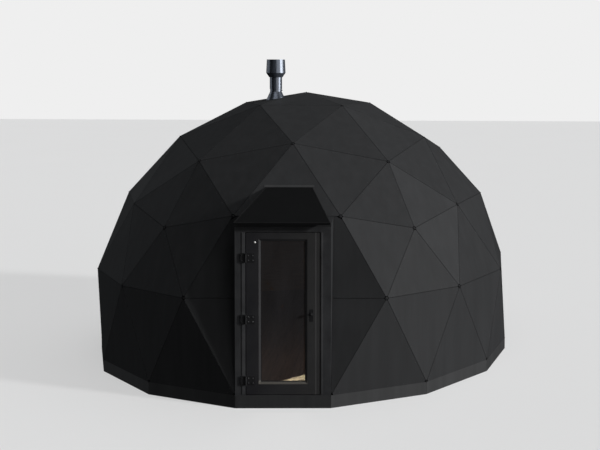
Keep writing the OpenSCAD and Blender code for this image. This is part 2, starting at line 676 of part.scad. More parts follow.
// Leaf side: the middle third of each knuckle and a strap. Frame side: the rest, the pin and a block.
module leaf_hinges() {
    third = hinge_h / 3;
    color(STEEL) for (z = hinge_heights) difference() {
        union() {
            translate([axis_x, axis_y, z - third / 2]) cylinder(r = knuckle_r, h = third);
            translate([axis_x, axis_y, z - third / 2]) cube([knuckle_r, knuckle_r + plate_t, third]);
            translate([axis_x + leaf_gap / 2 + 1, axis_y + knuckle_r, z - hinge_h / 2])
                cube([strap_w, plate_t, hinge_h]);
        }
        translate([axis_x, axis_y, z - hinge_h]) cylinder(r = pin_r + pin_play, h = 2 * hinge_h);
    }
}
module frame_hinges() {
    third = hinge_h / 3;
    color(STEEL) for (z = hinge_heights) {
        translate([axis_x, axis_y, z - hinge_h / 2]) cylinder(r = pin_r, h = hinge_h);
        for (s = [-1, 1]) translate([0, 0, z + s * (third + knuckle_play / 2) - third / 2]) {
            translate([axis_x, axis_y, 0]) cylinder(r = knuckle_r, h = third - knuckle_play / 2);
            translate([axis_x - knuckle_r - 2 * knuckle_play, axis_y, 0])
                cube([knuckle_r + 2 * knuckle_play, knuckle_r + plate_t, third - knuckle_play / 2]);
        }
        block_end = axis_x - knuckle_r - knuckle_play;
        translate([axis_x - leaf_gap / 2 - 1 - block_w, door_y - plate_t, z - hinge_h / 2])
            cube([block_w, plate_t, hinge_h]);
        translate([axis_x - leaf_gap / 2 - 1 - block_w, door_y - block_t, z - hinge_h / 2])
            cube([block_end - axis_x + leaf_gap / 2 + 1 + block_w, block_t, hinge_h]);
    }
}
// A rose, a neck and a rounded grip, turned in one piece
knob_rose = 4;
knob_neck_r = 0.45 * knob_r;
knob_neck = 18;
knob_out = 42;
module door_knob() {
    grip = knob_out - knob_neck;
    color(STEEL) translate([leaf_half - knob_in, door_y, leaf_foot + knob_z]) rotate([90, 0, 0])
        rotate_extrude() polygon([[0, 0], [knob_r, 0], [knob_r, knob_rose], [knob_neck_r, knob_rose + 2],
            [knob_neck_r, knob_neck],
            for (t = [-60:15:90]) [knob_r * cos(t), knob_neck + grip * (1 + sin(t)) / 2]]);
}

// ---- the flue ------------------------------------------------------------------------------

flue_end = centre_h + sphere_r + flue_top;
pipe_tail = 60;
flue_low = flue_foot.z - wall_t - pipe_tail;
cowl_foot = flue_end - cowl_h - cowl_taper;
band_foot = flue_foot.z + boot_h + seat;
module at_flue(z) { translate([flue_at.x, flue_at.y, z]) children(); }

// The inner pipe passes through the roof. Above the boot it carries a locking band, closed by
// a lug at the right, and the insulated casing.
module flue_pipe() {
    casing_foot = band_foot + band_h;
    casing_top = cowl_foot + cowl_taper;
    bore_r = neck_r - flue_wall;
    lug_w = 2 * lug;
    color(STEEL) {
        at_flue(0) rotate_extrude() polygon([
            [bore_r, flue_low], [neck_r, flue_low], [neck_r, band_foot], [band_r, band_foot],
            [band_r, casing_foot], [flue_r, casing_foot], [flue_r, casing_top], [bore_r, casing_top]]);
        at_flue(band_foot + band_h / 4) translate([band_r - lug, -lug_w / 2, 0])
            cube([2 * lug, lug_w, band_h / 2]);
    }
}
// The boot: an upright cone with a flange, on its sloping panel. The cone is drawn on below the
// cladding, where the cutter takes it off along the panel.
module flue_boot() {
    reach = 2 * boot_h;
    spread = boot_r + (boot_r - boot_top_r) * reach / boot_h;
    module on_panel() translate(flue_foot + flue_face[0] * seat)
        rotate([0, acos(flue_face[0].z), atan2(flue_face[0].y, flue_face[0].x)]) children();
    color(STEEL) difference() {
        union() {
            at_flue(flue_foot.z - reach) cylinder(r1 = spread, r2 = boot_top_r, h = reach + boot_h);
            on_panel() cylinder(r = boot_r + flange_w, h = flange_t);
        }
        on_panel() translate([-big / 2, -big / 2, -big]) cube(big);
        at_flue(flue_low) cylinder(r = neck_r + seat, h = big);
    }
}
// The cowl: a hollow drum on a taper, with a lid on three brackets inside its open top
module flue_cowl() {
    top = cowl_taper + cowl_h;
    lid_foot = top - lid_drop - lid_rise;
    lid_r = cowl_top_r - cowl_sheet - lid_gap;
    wall_r = cowl_top_r - cowl_sheet + (cowl_r - cowl_top_r) * (top - lid_foot - cowl_sheet) / cowl_h;
    bracket = [wall_r - seat - lid_r + lid_gap / 2, cowl_sheet, lid_gap];
    color(STEEL) at_flue(cowl_foot) {
        rotate_extrude() polygon([
            [flue_r + seat, 0], [flue_r + cowl_rim, 0], [cowl_r, cowl_taper], [cowl_top_r, top],
            [cowl_top_r - cowl_sheet, top], [cowl_r - cowl_sheet, cowl_taper],
            [flue_r + seat, 2 * cowl_rim]]);
        rotate_extrude() polygon([
            [0, lid_foot + lid_rise], [lid_r, lid_foot], [lid_r, lid_foot + cowl_sheet],
            [0, lid_foot + lid_rise + cowl_sheet]]);
        for (turn = [30:120:270]) rotate(turn)
            translate([lid_r - lid_gap / 2, -bracket.y / 2, lid_foot + cowl_sheet - bracket.z])
                cube(bracket);
    }
}

crown_panels();
upper_panels();
shoulder_panels(false);  // shoulder_panels_left
shoulder_panels(true);  // shoulder_panels_right
middle_panels(false);  // middle_panels_left
middle_panels(true);  // middle_panels_right
base_panels(false);  // base_panels_left
base_panels(true);  // base_panels_right
cheek_panels_left();
cheek_panels_right();
crown_lining();
upper_lining();
shoulder_lining();
middle_lining();
base_lining();
cheek_lining();
upper_struts();
shoulder_struts();
middle_struts();
base_struts();
sole_plates();
hubs();
riser_band();
floor_platform();
floor_deck();
box_side_left();
box_side_right();
box_roof();
left_jamb();
right_jamb();
door_head();
door_threshold();
door_stops();
awning_roof();
awning_sides();
leaf_stiles();
leaf_rails();
glazing_beads();
door_glass();
frame_hinges();
leaf_hinges();
door_knob();
flue_boot();
flue_pipe();
flue_cowl();
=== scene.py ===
# %% [markdown]
# # A geodesic dome cabin
# The cabin is built as a frame of struts and hubs, and this notebook dresses it. Every part
# of the frame is already at its real size and place, so each step asks the frame where
# things are, gives a finish to what is there, and adds the small pieces that a workshop adds:
# gaskets, bolts, screws, boards and trim.

# %% Load the frame
import json
import math

import bpy
import numpy as np
from mathutils import Matrix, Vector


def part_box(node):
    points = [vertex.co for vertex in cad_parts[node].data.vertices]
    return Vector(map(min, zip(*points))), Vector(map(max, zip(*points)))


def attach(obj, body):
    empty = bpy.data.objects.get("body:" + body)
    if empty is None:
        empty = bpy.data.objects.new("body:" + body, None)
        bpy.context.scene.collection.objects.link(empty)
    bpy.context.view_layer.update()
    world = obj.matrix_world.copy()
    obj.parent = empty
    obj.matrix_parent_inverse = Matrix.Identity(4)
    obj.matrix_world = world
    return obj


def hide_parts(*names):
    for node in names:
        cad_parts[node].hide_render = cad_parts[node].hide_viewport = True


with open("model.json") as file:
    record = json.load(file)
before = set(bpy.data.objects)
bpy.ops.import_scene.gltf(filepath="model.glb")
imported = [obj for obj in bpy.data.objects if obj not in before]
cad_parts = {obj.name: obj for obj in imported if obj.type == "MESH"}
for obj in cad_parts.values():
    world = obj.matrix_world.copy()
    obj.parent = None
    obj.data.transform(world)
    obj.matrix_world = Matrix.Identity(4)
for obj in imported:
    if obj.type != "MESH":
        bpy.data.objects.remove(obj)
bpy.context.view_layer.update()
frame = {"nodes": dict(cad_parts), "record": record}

nodes = frame["nodes"]

# %% [markdown]
# ## The camera
# A camera is a place, a direction and a lens. The place here is high, and a little to the right
# of the door. A long lens keeps the far side of the dome from shrinking. The shift slides the
# picture on the sensor, as the rising front of a view camera does, so uprights stay upright.

# %% Camera
CAMERA_AT = (1.4053, -14.6355, 4.1054)
TURN, PITCH, ROLL = -1.0647, 2.5277, 0.2954
LENS, SENSOR = 59.481, 36.0
SHIFT = (-0.2, -0.1917)


def aim(turn, pitch, roll):
    """Rotation matrix whose columns are the camera's right, up and back directions. Back is the
    way round from the door by turn and up by pitch, and roll turns right towards up."""
    a, e, r = np.radians([turn, pitch, roll])
    back = np.array([np.sin(a) * np.cos(e), -np.cos(a) * np.cos(e), np.sin(e)])
    level = np.array([np.cos(a), np.sin(a), 0.0])
    up = np.cross(back, level)
    right = np.cos(r) * level + np.sin(r) * up
    return np.column_stack([right, np.cross(back, right), back])


camera_data = bpy.data.cameras.new("camera")
camera_data.lens, camera_data.sensor_width = LENS, SENSOR
camera_data.shift_x, camera_data.shift_y = SHIFT
camera_data.clip_end = 200.0
camera = bpy.data.objects.new("camera", camera_data)
bpy.context.scene.collection.objects.link(camera)
pose = np.eye(4)
pose[:3, :3] = aim(TURN, PITCH, ROLL)
pose[:3, 3] = CAMERA_AT
camera.matrix_world = Matrix(pose.tolist())
bpy.context.scene.camera = camera
print("camera", CAMERA_AT, "lens", LENS, "mm")

# %% [markdown]
# ## The light
# The cabin is nearly black, so what it shows is mostly the light. Every lamp outside is a sun,
# because a sun lights the whole cabin evenly. Its spread is how wide it looks: a narrow one
# draws hard shadows and a wide one soft shadows. The key is narrow and stands low on the right,
# so the awning throws a clear shadow and panels that face right are the palest. The others are
# wide and weak, as soft boxes are, and keep the dark side readable.
#
# The sky is pale where the camera looks at it and dim where it lights the panels, so that
# black stays black.

# %% Sky
BACKDROP = (0.863, 0.863, 0.863, 1.0)
SKY_TINT = (0.86, 0.90, 1.0, 1.0)
SKY_LIGHT = 0.003

world = bpy.data.worlds.new("studio")
bpy.context.scene.world = world
world.use_nodes = True
sky = world.node_tree
sky.nodes.clear()
seen = sky.nodes.new("ShaderNodeBackground")
seen.inputs["Color"].default_value = BACKDROP
lit = sky.nodes.new("ShaderNodeBackground")
lit.inputs["Color"].default_value = SKY_TINT
lit.inputs["Strength"].default_value = SKY_LIGHT
rays = sky.nodes.new("ShaderNodeLightPath")
pick = sky.nodes.new("ShaderNodeMixShader")
out = sky.nodes.new("ShaderNodeOutputWorld")
sky.links.new(rays.outputs["Is Camera Ray"], pick.inputs["Fac"])
sky.links.new(lit.outputs["Background"], pick.inputs[1])
sky.links.new(seen.outputs["Background"], pick.inputs[2])
sky.links.new(pick.outputs["Shader"], out.inputs["Surface"])
print("sky seen:", BACKDROP[0], "sky that lights:", SKY_LIGHT)

# %% [markdown]
# The last sun is for the flue alone. In a studio, black flags would keep such a lamp off the
# rest. Light linking does that here: the lamp reaches only the pieces in its collection.

# %% Lamps
WHITE, WARM, COOL, COLD = (1.0, 1.0, 1.0), (1.0, 1.0, 0.98), (0.96, 0.98, 1.0), (0.92, 0.96, 1.0)
SUNS = {
    "key": dict(turn=71, height=16, power=3.05, spread=5, color=WHITE),
    "front": dict(turn=45, height=5, power=0.75, spread=60, color=WHITE),
    "top": dict(turn=0, height=65, power=0.58, spread=50, color=COOL),
    "side": dict(turn=100, height=25, power=0.16, spread=50, color=COOL),
    "rear": dict(turn=120, height=60, power=0.61, spread=50, color=COOL),
    "left": dict(turn=-100, height=8, power=0.31, spread=50, color=COLD),
    "rear left": dict(turn=-140, height=25, power=0.16, spread=50, color=COLD),
    "flue": dict(turn=84, height=12, power=1.9, spread=38, color=WARM,
                 only=("flue_pipe", "flue_cowl")),
}


def sun(name, turn, height, power, spread, color, only=()):
    """A far lamp, turn degrees to the right of the door's front and height degrees up. Where
    frame pieces are named in only, it lights nothing else."""
    lamp = bpy.data.lights.new(name, "SUN")
    lamp.energy, lamp.angle, lamp.color = power, math.radians(spread), color
    thing = bpy.data.objects.new(name, lamp)
    basis = np.eye(4)
    basis[:3, :3] = aim(turn, height, 0.0)
    thing.matrix_world = Matrix(basis.tolist())
    bpy.context.scene.collection.objects.link(thing)
    if only:
        lit_pieces = bpy.data.collections.new(name + "_pieces")
        for piece_name in only:
            lit_pieces.objects.link(nodes[piece_name])
        thing.light_linking.receiver_collection = lit_pieces


for name, facts in SUNS.items():
    sun(name, **facts)
print("lamps:", list(SUNS))

# %% [markdown]
# A dark room behind dark glass would show nothing, so two flat lamps hang inside. One lights the
# lining and the boards. The other has a narrow beam that falls on the mat by the door.

# %% Room lamps
ROOM_LAMPS = {
    "room": dict(at=(0.0, -2.0, 2.15), size=(0.6, 0.6), turn=0, power=19.0, spread=180,
                 color=(1.0, 0.97, 0.92)),
    "mat": dict(at=(0.161, -2.357, 1.3), size=(0.58, 0.31), turn=42, power=0.9, spread=8,
                color=(1.0, 0.93, 0.80)),
}


def panel_lamp(name, at, size, turn, power, spread, color):
    """A flat lamp that shines straight down. Spread narrows its beam."""
    lamp = bpy.data.lights.new(name, "AREA")
    lamp.shape, (lamp.size, lamp.size_y) = "RECTANGLE", size
    lamp.energy, lamp.spread, lamp.color = power, math.radians(spread), color
    thing = bpy.data.objects.new(name, lamp)
    thing.matrix_world = Matrix.Translation(at) @ Matrix.Rotation(math.radians(turn), 4, "Z")
    thing.visible_camera = thing.visible_glossy = False
    bpy.context.scene.collection.objects.link(thing)


for name, facts in ROOM_LAMPS.items():
    panel_lamp(name, **facts)

# The standard view shows each tone as it was worked out, with no film curve over it.
bpy.context.scene.view_settings.view_transform = "Standard"
print("room lamps:", list(ROOM_LAMPS))

# %% [markdown]
# ## Writing a finish
# A finish is a small graph of nodes. Written out node by node it is hard to read, so one class
# wraps what comes out of a node and lets plus and times add the Math nodes. Any other node
# comes from a single method.

# %% A wire that can be added and multiplied
class Wire:
    """What a node gives out. Sums and products of wires and numbers add Math nodes."""

    def __init__(self, finish, socket):
        self.finish, self.socket = finish, socket

    def maths(self, operation, a, b):
        return self.finish.node("ShaderNodeMath", {"operation": operation}, {0: a, 1: b})

    def __add__(self, other):
        return self.maths("ADD", self, other)

    __radd__ = __add__

    def __mul__(self, other):
        return self.maths("MULTIPLY", self, other)

    __rmul__ = __mul__


class Finish:
    """A material, with its Principled shader and the method that adds any node."""

    def __init__(self, name, **constants):
        self.material = bpy.data.materials.new(name)
        self.material.use_nodes = True
        self.tree = self.material.node_tree
        self.skin = next(n for n in self.tree.nodes if n.type == "BSDF_PRINCIPLED")
        for socket, value in constants.items():
            self.skin.inputs[socket.replace("_", " ")].default_value = value
        self.place = self.node("ShaderNodeTexCoord", out="Object")

    def node(self, kind, settings=None, sockets=None, out=0, stops=None):
        """Adds a node: settings first, then a ramp's stops, then its sockets' values or links."""
        made = self.tree.nodes.new(kind)
        for key, value in (settings or {}).items():
            setattr(made, key, value)
        if stops:
            ramp = made.color_ramp.elements
            while len(ramp) < len(stops):
                ramp.new(1.0)
            for stop, (position, color) in zip(ramp, stops):
                stop.position, stop.color = position, color
        for key, value in (sockets or {}).items():
            self.set(made.inputs[key], value)
        return Wire(self, made.outputs[out])

    def set(self, socket, value):
        if isinstance(value, Wire):
            self.tree.links.new(value.socket, socket)
        else:
            socket.default_value = value

    def wear(self, **sockets):
        """Links or sets the Principled shader's sockets, and returns the material."""
        for key, value in sockets.items():
            self.set(self.skin.inputs[key.replace("_", " ")], value)
        return self.material

    def noise(self, scale, detail=3.0, rough=0.55, place=None, distortion=0.0):
        """Cloudy noise, about 0.2 to 0.8, in features of 1 / scale metres."""
        return self.node("ShaderNodeTexNoise", {}, {
            "Vector": place or self.place, "Scale": scale, "Detail": detail,
            "Roughness": rough, "Distortion": distortion}, out=0)

    def stretched(self, x, y, z):
        """The object's own coordinates with each axis multiplied."""
        return self.node("ShaderNodeMapping", {}, {"Vector": self.place, "Scale": (x, y, z)})

    def steps(self, wire, low, high, to_low=0.0, to_high=1.0):
        """Straight ramp from to_low at low to to_high at high, held beyond both."""
        return self.node("ShaderNodeMapRange", {"clamp": True}, {
            "Value": wire, "From Min": low, "From Max": high, "To Min": to_low, "To Max": to_high})

    def blend(self, first, second, share):
        """Colour from first to second by share."""
        colors = {0: share, 6: first, 7: second}
        return self.node("ShaderNodeMix", {"data_type": "RGBA"}, colors, out=2)

    def bump(self, height, depth, strength=1.0):
        """Normal bent by a height field, with depth in metres."""
        return self.node("ShaderNodeBump", {}, {
            "Strength": strength, "Distance": depth, "Height": height})


def rgb(r, g, b):
    return (r, g, b, 1.0)


finishes = {}
print("finish kit ready")

# %% [markdown]
# ## Matt black panels
# The panels are sheets with a matt black coat. A flat colour would look like a cut-out, so the
# tone drifts slowly over each sheet, rain leaves faint upright streaks, dust settles, and
# every panel is a little different from its neighbour. The panel's own direction picks its
# tone: it is the same all over a flat panel, so noise looked up with it gives one value each.

# %% Panel finish
# TONE_SCALE sets how much the tone changes from one direction to the next. TONE_AT slides the
# noise, so each place deals the panels another set of tones. This one was picked from many tries.
TONE_AT = (-19.9, 13.5, -28.3)
TONE_SCALE = (3.1, 3.1, 3.1)


def coated(name, dark, light, rough, spec, streak=0.35):
    """Tone = panel's own value + slow drift + streaks + grain. Roughness follows the drift."""
    f = Finish(name, Specular_IOR_Level=spec)
    facing = f.node("ShaderNodeNewGeometry", out="True Normal")
    moved = f.node("ShaderNodeMapping", {}, {
        "Vector": facing, "Scale": TONE_SCALE, "Location": TONE_AT})
    own = f.noise(1.0, detail=0.0, place=moved)
    drift = f.noise(0.8, detail=4.0)
    rain = f.noise(1.0, detail=5.0, place=f.stretched(9.0, 9.0, 0.7))
    grain = f.noise(160.0, detail=2.0)
    tone = own * 0.5 + drift * 0.3 + f.steps(rain, 0.35, 0.75) * streak * 0.5 + grain * 0.12
    share = f.steps(tone, 0.30, 0.80)
    wave = f.noise(2.4, detail=1.0)
    return f.wear(
        Base_Color=f.blend(dark, light, share),
        Roughness=f.steps(drift + grain * 0.4, 0.4, 1.0, rough - 0.06, rough + 0.08),
        Normal=f.bump(wave + grain * 0.02, 0.004, 0.35))


finishes["cladding"] = coated(
    "panel_black", rgb(0.0175, 0.0178, 0.0186), rgb(0.0315, 0.0321, 0.0335), rough=0.68, spec=0.14)
# The awning takes the panels' coat at about a seventh of its tone: painted shade, for the key light
# that misses its face.
finishes["awning"] = coated(
    "awning_black_painted_shade", rgb(0.0026, 0.0027, 0.0029), rgb(0.0046, 0.0047, 0.0050), rough=0.66, spec=0.08)
finishes["riser"] = coated(
    "riser_black", rgb(0.022, 0.0223, 0.023), rgb(0.038, 0.0385, 0.0395), rough=0.56, spec=0.26,
    streak=0.6)
print("panel coats:", list(finishes))

# %% [markdown]
# ## Door, ironwork and rubber
# The door frame has a satin coat, the ironwork is duller and the rubber dullest. All of them are
# one recipe, a faint drift of tone under a fine grain, with other tones, gloss and grain. The
# mat's loops and the brush's bristles are the same recipe with a very fine, deeper grain.

# %% Small finishes
def satin(name, dark, light, rough, spec, grain=90.0, depth=0.0006):
    """A sprayed coat: fine orange peel in the bump, faint drift in tone and gloss."""
    f = Finish(name, Specular_IOR_Level=spec)
    drift = f.noise(5.0, detail=3.0)
    peel = f.noise(grain, detail=2.0)
    return f.wear(
        Base_Color=f.blend(dark, light, f.steps(drift * 0.8 + peel * 0.2, 0.3, 0.7)),
        Roughness=f.steps(drift, 0.3, 0.7, rough - 0.05, rough + 0.07),
        Normal=f.bump(peel, depth, 0.5))


finishes["door_frame"] = satin(
    "frame_black", rgb(0.0225, 0.0229, 0.0244), rgb(0.038, 0.0385, 0.0405), rough=0.38, spec=0.35)
finishes["ironmongery"] = satin(
    "iron_black", rgb(0.006, 0.006, 0.0065), rgb(0.011, 0.011, 0.012), rough=0.62, spec=0.2,
    grain=220.0)
finishes["hub_steel"] = satin(
    "hub_black", rgb(0.006, 0.006, 0.0065), rgb(0.011, 0.011, 0.012), rough=0.6, spec=0.2)
finishes["rubber"] = satin(
    "gasket_rubber", rgb(0.004, 0.004, 0.0042), rgb(0.008, 0.008, 0.0085), rough=0.72, spec=0.15,
    grain=300.0)
finishes["bolts"] = satin(
    "bolt_zinc", rgb(0.026, 0.026, 0.028), rgb(0.045, 0.045, 0.047), rough=0.42, spec=0.4,
    grain=260.0)
finishes["brush"] = satin(
    "brush_brown", rgb(0.030, 0.020, 0.011), rgb(0.052, 0.034, 0.018), rough=0.8, spec=0.1,
    grain=600.0)
finishes["mat"] = satin(
    "mat_cream", rgb(0.60, 0.50, 0.34), rgb(0.76, 0.66, 0.48), rough=0.9, spec=0.1, grain=340.0,
    depth=0.002)
finishes["plastic"] = satin(
    "button_plastic", rgb(0.62, 0.62, 0.60), rgb(0.74, 0.74, 0.72), rough=0.4, spec=0.4)
finishes["screws"] = satin(
    "screw_black", rgb(0.014, 0.0142, 0.015), rgb(0.024, 0.0242, 0.025), rough=0.45, spec=0.35,
    grain=400.0)
print("finishes so far:", len(finishes))

# %% [markdown]
# The leaf has the frame's coat with painted shade across it: the coat is darkest by the hinges
# and palest towards the knob. A pale band on the bottom bead under the glass is a painted
# highlight, the cream mat reflected in the bead's top face.

# %% Door leaf
# Painted shade: across the leaf, the coat runs from the first of these tones to the second.
LEAF_SHADED_AND_LIT_TONES = rgb(0.0148, 0.0146, 0.0168), rgb(0.0300, 0.0296, 0.0298)
# Colour of the painted highlight on the bottom bead: its lit top face with the cream mat reflected
# in it.
BEAD_HIGHLIGHT = rgb(0.075, 0.070, 0.062)
# Painted shade is darkest at the first x across the leaf and palest at the second.
SHADE_DARKEST_X, SHADE_PALEST_X = -0.42, 0.36
# The painted highlight lies on what is below this height and fades in over the second number.
HIGHLIGHT_TOP, HIGHLIGHT_FADE = 0.338, 0.004


def leaf_coat(name, dark, light, highlight_top=0.0):
    """Tone = painted shade across the leaf + slow drift, and a painted highlight lies on what is
    below the given height.
    """
    f = Finish(name, Specular_IOR_Level=0.35)
    across = f.node("ShaderNodeSeparateXYZ", {}, {"Vector": f.place})
    height = f.node("ShaderNodeSeparateXYZ", {}, {"Vector": f.place}, out=2)
    drift = f.noise(5.0, detail=3.0)
    peel = f.noise(90.0, detail=2.0)
    # Painted shade across the leaf, mixed with the coat's slow drift.
    painted_shade = f.steps(across, SHADE_DARKEST_X, SHADE_PALEST_X)
    coat = f.blend(dark, light, f.steps(painted_shade * 0.75 + drift * 0.3, 0.05, 0.95))
    # Painted highlight on what lies below the given height.
    painted_highlight = f.steps(height, highlight_top - HIGHLIGHT_FADE, highlight_top, 1.0, 0.0)
    return f.wear(
        Base_Color=f.blend(coat, BEAD_HIGHLIGHT, painted_highlight),
        Roughness=f.steps(drift, 0.3, 0.7, 0.34, 0.46),
        Normal=f.bump(peel, 0.0006, 0.5))


finishes["leaf"] = leaf_coat("leaf_black", *LEAF_SHADED_AND_LIT_TONES)
finishes["beads"] = leaf_coat("bead_black", *LEAF_SHADED_AND_LIT_TONES, highlight_top=HIGHLIGHT_TOP)
# Prints where the leaf's painted shade is darkest and palest, and the top of the bead's painted
# highlight.
print("leaf: dark by the hinges at", SHADE_DARKEST_X, "pale at", SHADE_PALEST_X, "dusty below", HIGHLIGHT_TOP)

# %% [markdown]
# ## Plated flue
# The flue is the one glossy thing on the roof. It could be painted, but paint mirrors only a
# few hundredths of a lamp. Dark plated steel mirrors about an eighth of it, in one bright
# upright stripe, and soot dulls it in runs.

# %% Plated steel
def black_chrome():
    """Dark plated steel: upright runs of soot dull the gloss and take the metal down to matt."""
    f = Finish("flue_black_chrome", Specular_IOR_Level=0.5, Coat_Weight=0.6, Coat_Roughness=0.28)
    soot = f.steps(f.noise(1.0, detail=5.0, place=f.stretched(26.0, 26.0, 3.0)), 0.45, 0.75)
    return f.wear(
        Base_Color=f.blend(rgb(0.115, 0.133, 0.168), rgb(0.080, 0.090, 0.110), soot),
        Metallic=f.steps(soot, 0.0, 1.0, 0.75, 0.50),
        Roughness=f.steps(soot, 0.0, 1.0, 0.18, 0.32),
        Normal=f.bump(f.noise(70.0, detail=2.0), 0.0004, 0.3))


finishes["flue"] = black_chrome()
print("flue plated")

# %% [markdown]
# ## Wood
# Wood is rings cut lengthways. Noise squeezed across the board and stretched along it reads as
# grain, and a second, finer noise gives the pores.

# %% Wood finishes
def wood(name, pale, dark, along, rough, spec=0.35):
    """Grain = noise stretched along one axis, sharpened to lines, plus fine pores."""
    f = Finish(name, Specular_IOR_Level=spec)
    stretch = [26.0, 26.0, 26.0]
    stretch[along] = 1.6
    grain = f.noise(1.0, detail=6.0, place=f.stretched(*stretch), distortion=0.6)
    pores = f.noise(1.0, detail=2.0, place=f.stretched(*[9.0 * s for s in stretch]))
    share = f.steps(grain * 0.8 + pores * 0.3, 0.35, 0.75)
    return f.wear(
        Base_Color=f.blend(pale, dark, share),
        Roughness=f.steps(grain, 0.3, 0.7, rough - 0.06, rough + 0.06),
        Normal=f.bump(grain * 0.7 + pores * 0.3, 0.0006, 0.6))


finishes["lining"] = wood(
    "lining_ply", rgb(0.30, 0.20, 0.12), rgb(0.19, 0.115, 0.065), along=0, rough=0.5)
finishes["timber"] = wood(
    "strut_pine", rgb(0.42, 0.28, 0.15), rgb(0.26, 0.15, 0.07), along=2, rough=0.6)
finishes["floor_boards"] = wood(
    "oiled_boards", rgb(0.112, 0.066, 0.043), rgb(0.052, 0.029, 0.019), along=1, rough=0.42)
print("woods: lining, timber, floor boards")

# %% [markdown]
# ## Glass
# A pane could be a full refracting solid, but then lamps could hardly reach the room behind it.
# Here a see-through shader is mixed with a little dust, and with a mirror by Fresnel, so light
# gets in and the reflection stays. Only the side where a ray enters the pane has dust and
# mirror. The side where it leaves is plain grey and see-through, because a second mirror would
# only add noise.

# %% Pane finish
def pane_finish():
    """Fresnel share of gloss over a grey see-through pane. A thin film of dust, thicker in runs,
    catches the lamps, and rain dulls the gloss."""
    f = Finish("door_pane")
    see = f.node("ShaderNodeBsdfTransparent", {}, {"Color": rgb(0.62, 0.62, 0.62)})
    dust = f.node("ShaderNodeBsdfDiffuse", {}, {"Color": rgb(0.100, 0.098, 0.104)})
    runs = f.noise(1.0, detail=5.0, place=f.stretched(5.0, 5.0, 1.2))
    dusty = f.steps(runs, 0.3, 0.75, 0.15, 0.24)
    clear = f.node("ShaderNodeMixShader", {}, {0: dusty, 1: see, 2: dust})
    rain = f.noise(1.0, detail=4.0, place=f.stretched(7.0, 7.0, 0.8))
    film = f.steps(rain, 0.3, 0.8, 0.08, 0.16)
    gloss = f.node("ShaderNodeBsdfGlossy", {}, {"Color": rgb(0.95, 0.95, 0.95), "Roughness": film})
    edge = f.node("ShaderNodeFresnel", {}, {"IOR": 1.25})
    coated_face = f.node("ShaderNodeMixShader", {}, {0: edge, 1: clear, 2: gloss})
    leaving = f.node("ShaderNodeNewGeometry", out="Backfacing")
    mixed = f.node("ShaderNodeMixShader", {}, {0: leaving, 1: coated_face, 2: see})
    out = next(n for n in f.tree.nodes if n.type == "OUTPUT_MATERIAL")
    f.set(out.inputs["Surface"], mixed)
    return f.material


finishes["glass"] = pane_finish()
print("finishes:", sorted(finishes))

# %% [markdown]
# ## Dressing the frame
# The frame's record says which finish each piece takes. A few pieces share a finish in the
# record but look different on the cabin, so they get one of their own.

# %% Put the finishes on the frame's pieces
slot_of = {row["node"]: row["material_slot"] for row in frame["record"]["subparts"]}
special = {"riser_band": "riser", "leaf_stiles": "leaf", "leaf_rails": "leaf",
           "glazing_beads": "beads"}
for name, thing in nodes.items():
    thing.data.materials.clear()
    thing.data.materials.append(finishes[special.get(name, slot_of[name])])
print("dressed", len(nodes), "frame pieces")

# %% [markdown]
# ## The dome's corner points
# Every panel corner lies on one sphere. The corners come from an icosahedron whose edges are
# cut in three. The first cut is placed so that the lowest ring comes out level, and the same
# cut is used on every edge, which keeps the sphere regular.

# %% Corner directions, ring by ring
SPHERE = 3.0
EDGE_ARC = math.atan(2.0)


def unit(v):
    """Vectors of length one along the last axis."""
    v = np.asarray(v, float)
    return v / np.linalg.norm(v, axis=-1, keepdims=True)


def ray(down, turn):
    """Direction down degrees from the crown, turned from the door towards the right."""
    d, t = np.radians(down), np.radians(turn)
    return np.array([np.sin(d) * np.sin(t), -np.sin(d) * np.cos(t), np.cos(d)])


CROWN = np.array([0.0, 0.0, 1.0])
edge_degrees = math.degrees(EDGE_ARC)
upper = [ray(edge_degrees, 72 * k - 36) for k in range(6)]
lower = [ray(180 - edge_degrees, 72 * k) for k in range(-1, 6)]
base_level = unit(upper[0] + lower[0] + lower[1])[2]
FIRST_ARC = EDGE_ARC / 2 - math.asin(-base_level / math.cos(EDGE_ARC / 2))


def along(a, b):
    """Direction FIRST_ARC of the way from a to b on the great circle through both."""
    return (math.sin(EDGE_ARC - FIRST_ARC) * a + math.sin(FIRST_ARC) * b) / math.sin(EDGE_ARC)


rings = [[CROWN], [], [], [], [], []]
for k in range(5):
    here, after, under, under_after = upper[k], upper[k + 1], lower[k], lower[k + 1]
    rings[1] += [along(CROWN, here)]
    rings[2] += [along(here, CROWN), unit(CROWN + here + after)]
    rings[3] += [here, along(here, after), along(after, here)]
    rings[4] += [along(here, under), along(here, under_after), unit(here + after + under_after)]
    rings[5] += [unit(here + under + under_after), along(under_after, here),
                 along(under_after, after)]

riser_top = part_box("riser_band")[1].z
CENTRE = np.array([0.0, 0.0, riser_top - SPHERE * base_level])


def hub(ring, index):
    """Corner point, counted round its ring: centre + radius x direction."""
    return CENTRE + SPHERE * rings[ring][index % len(rings[ring])]


print("level base ring: first cut at", round(math.degrees(FIRST_ARC), 3), "degrees, centre",
      CENTRE.round(4))

# %% [markdown]
# A panel is a triple of corners. The pattern is the same on all five sides of the dome, so one
# loop writes it. The side that faces front leaves out six panels, and there the doorway is.

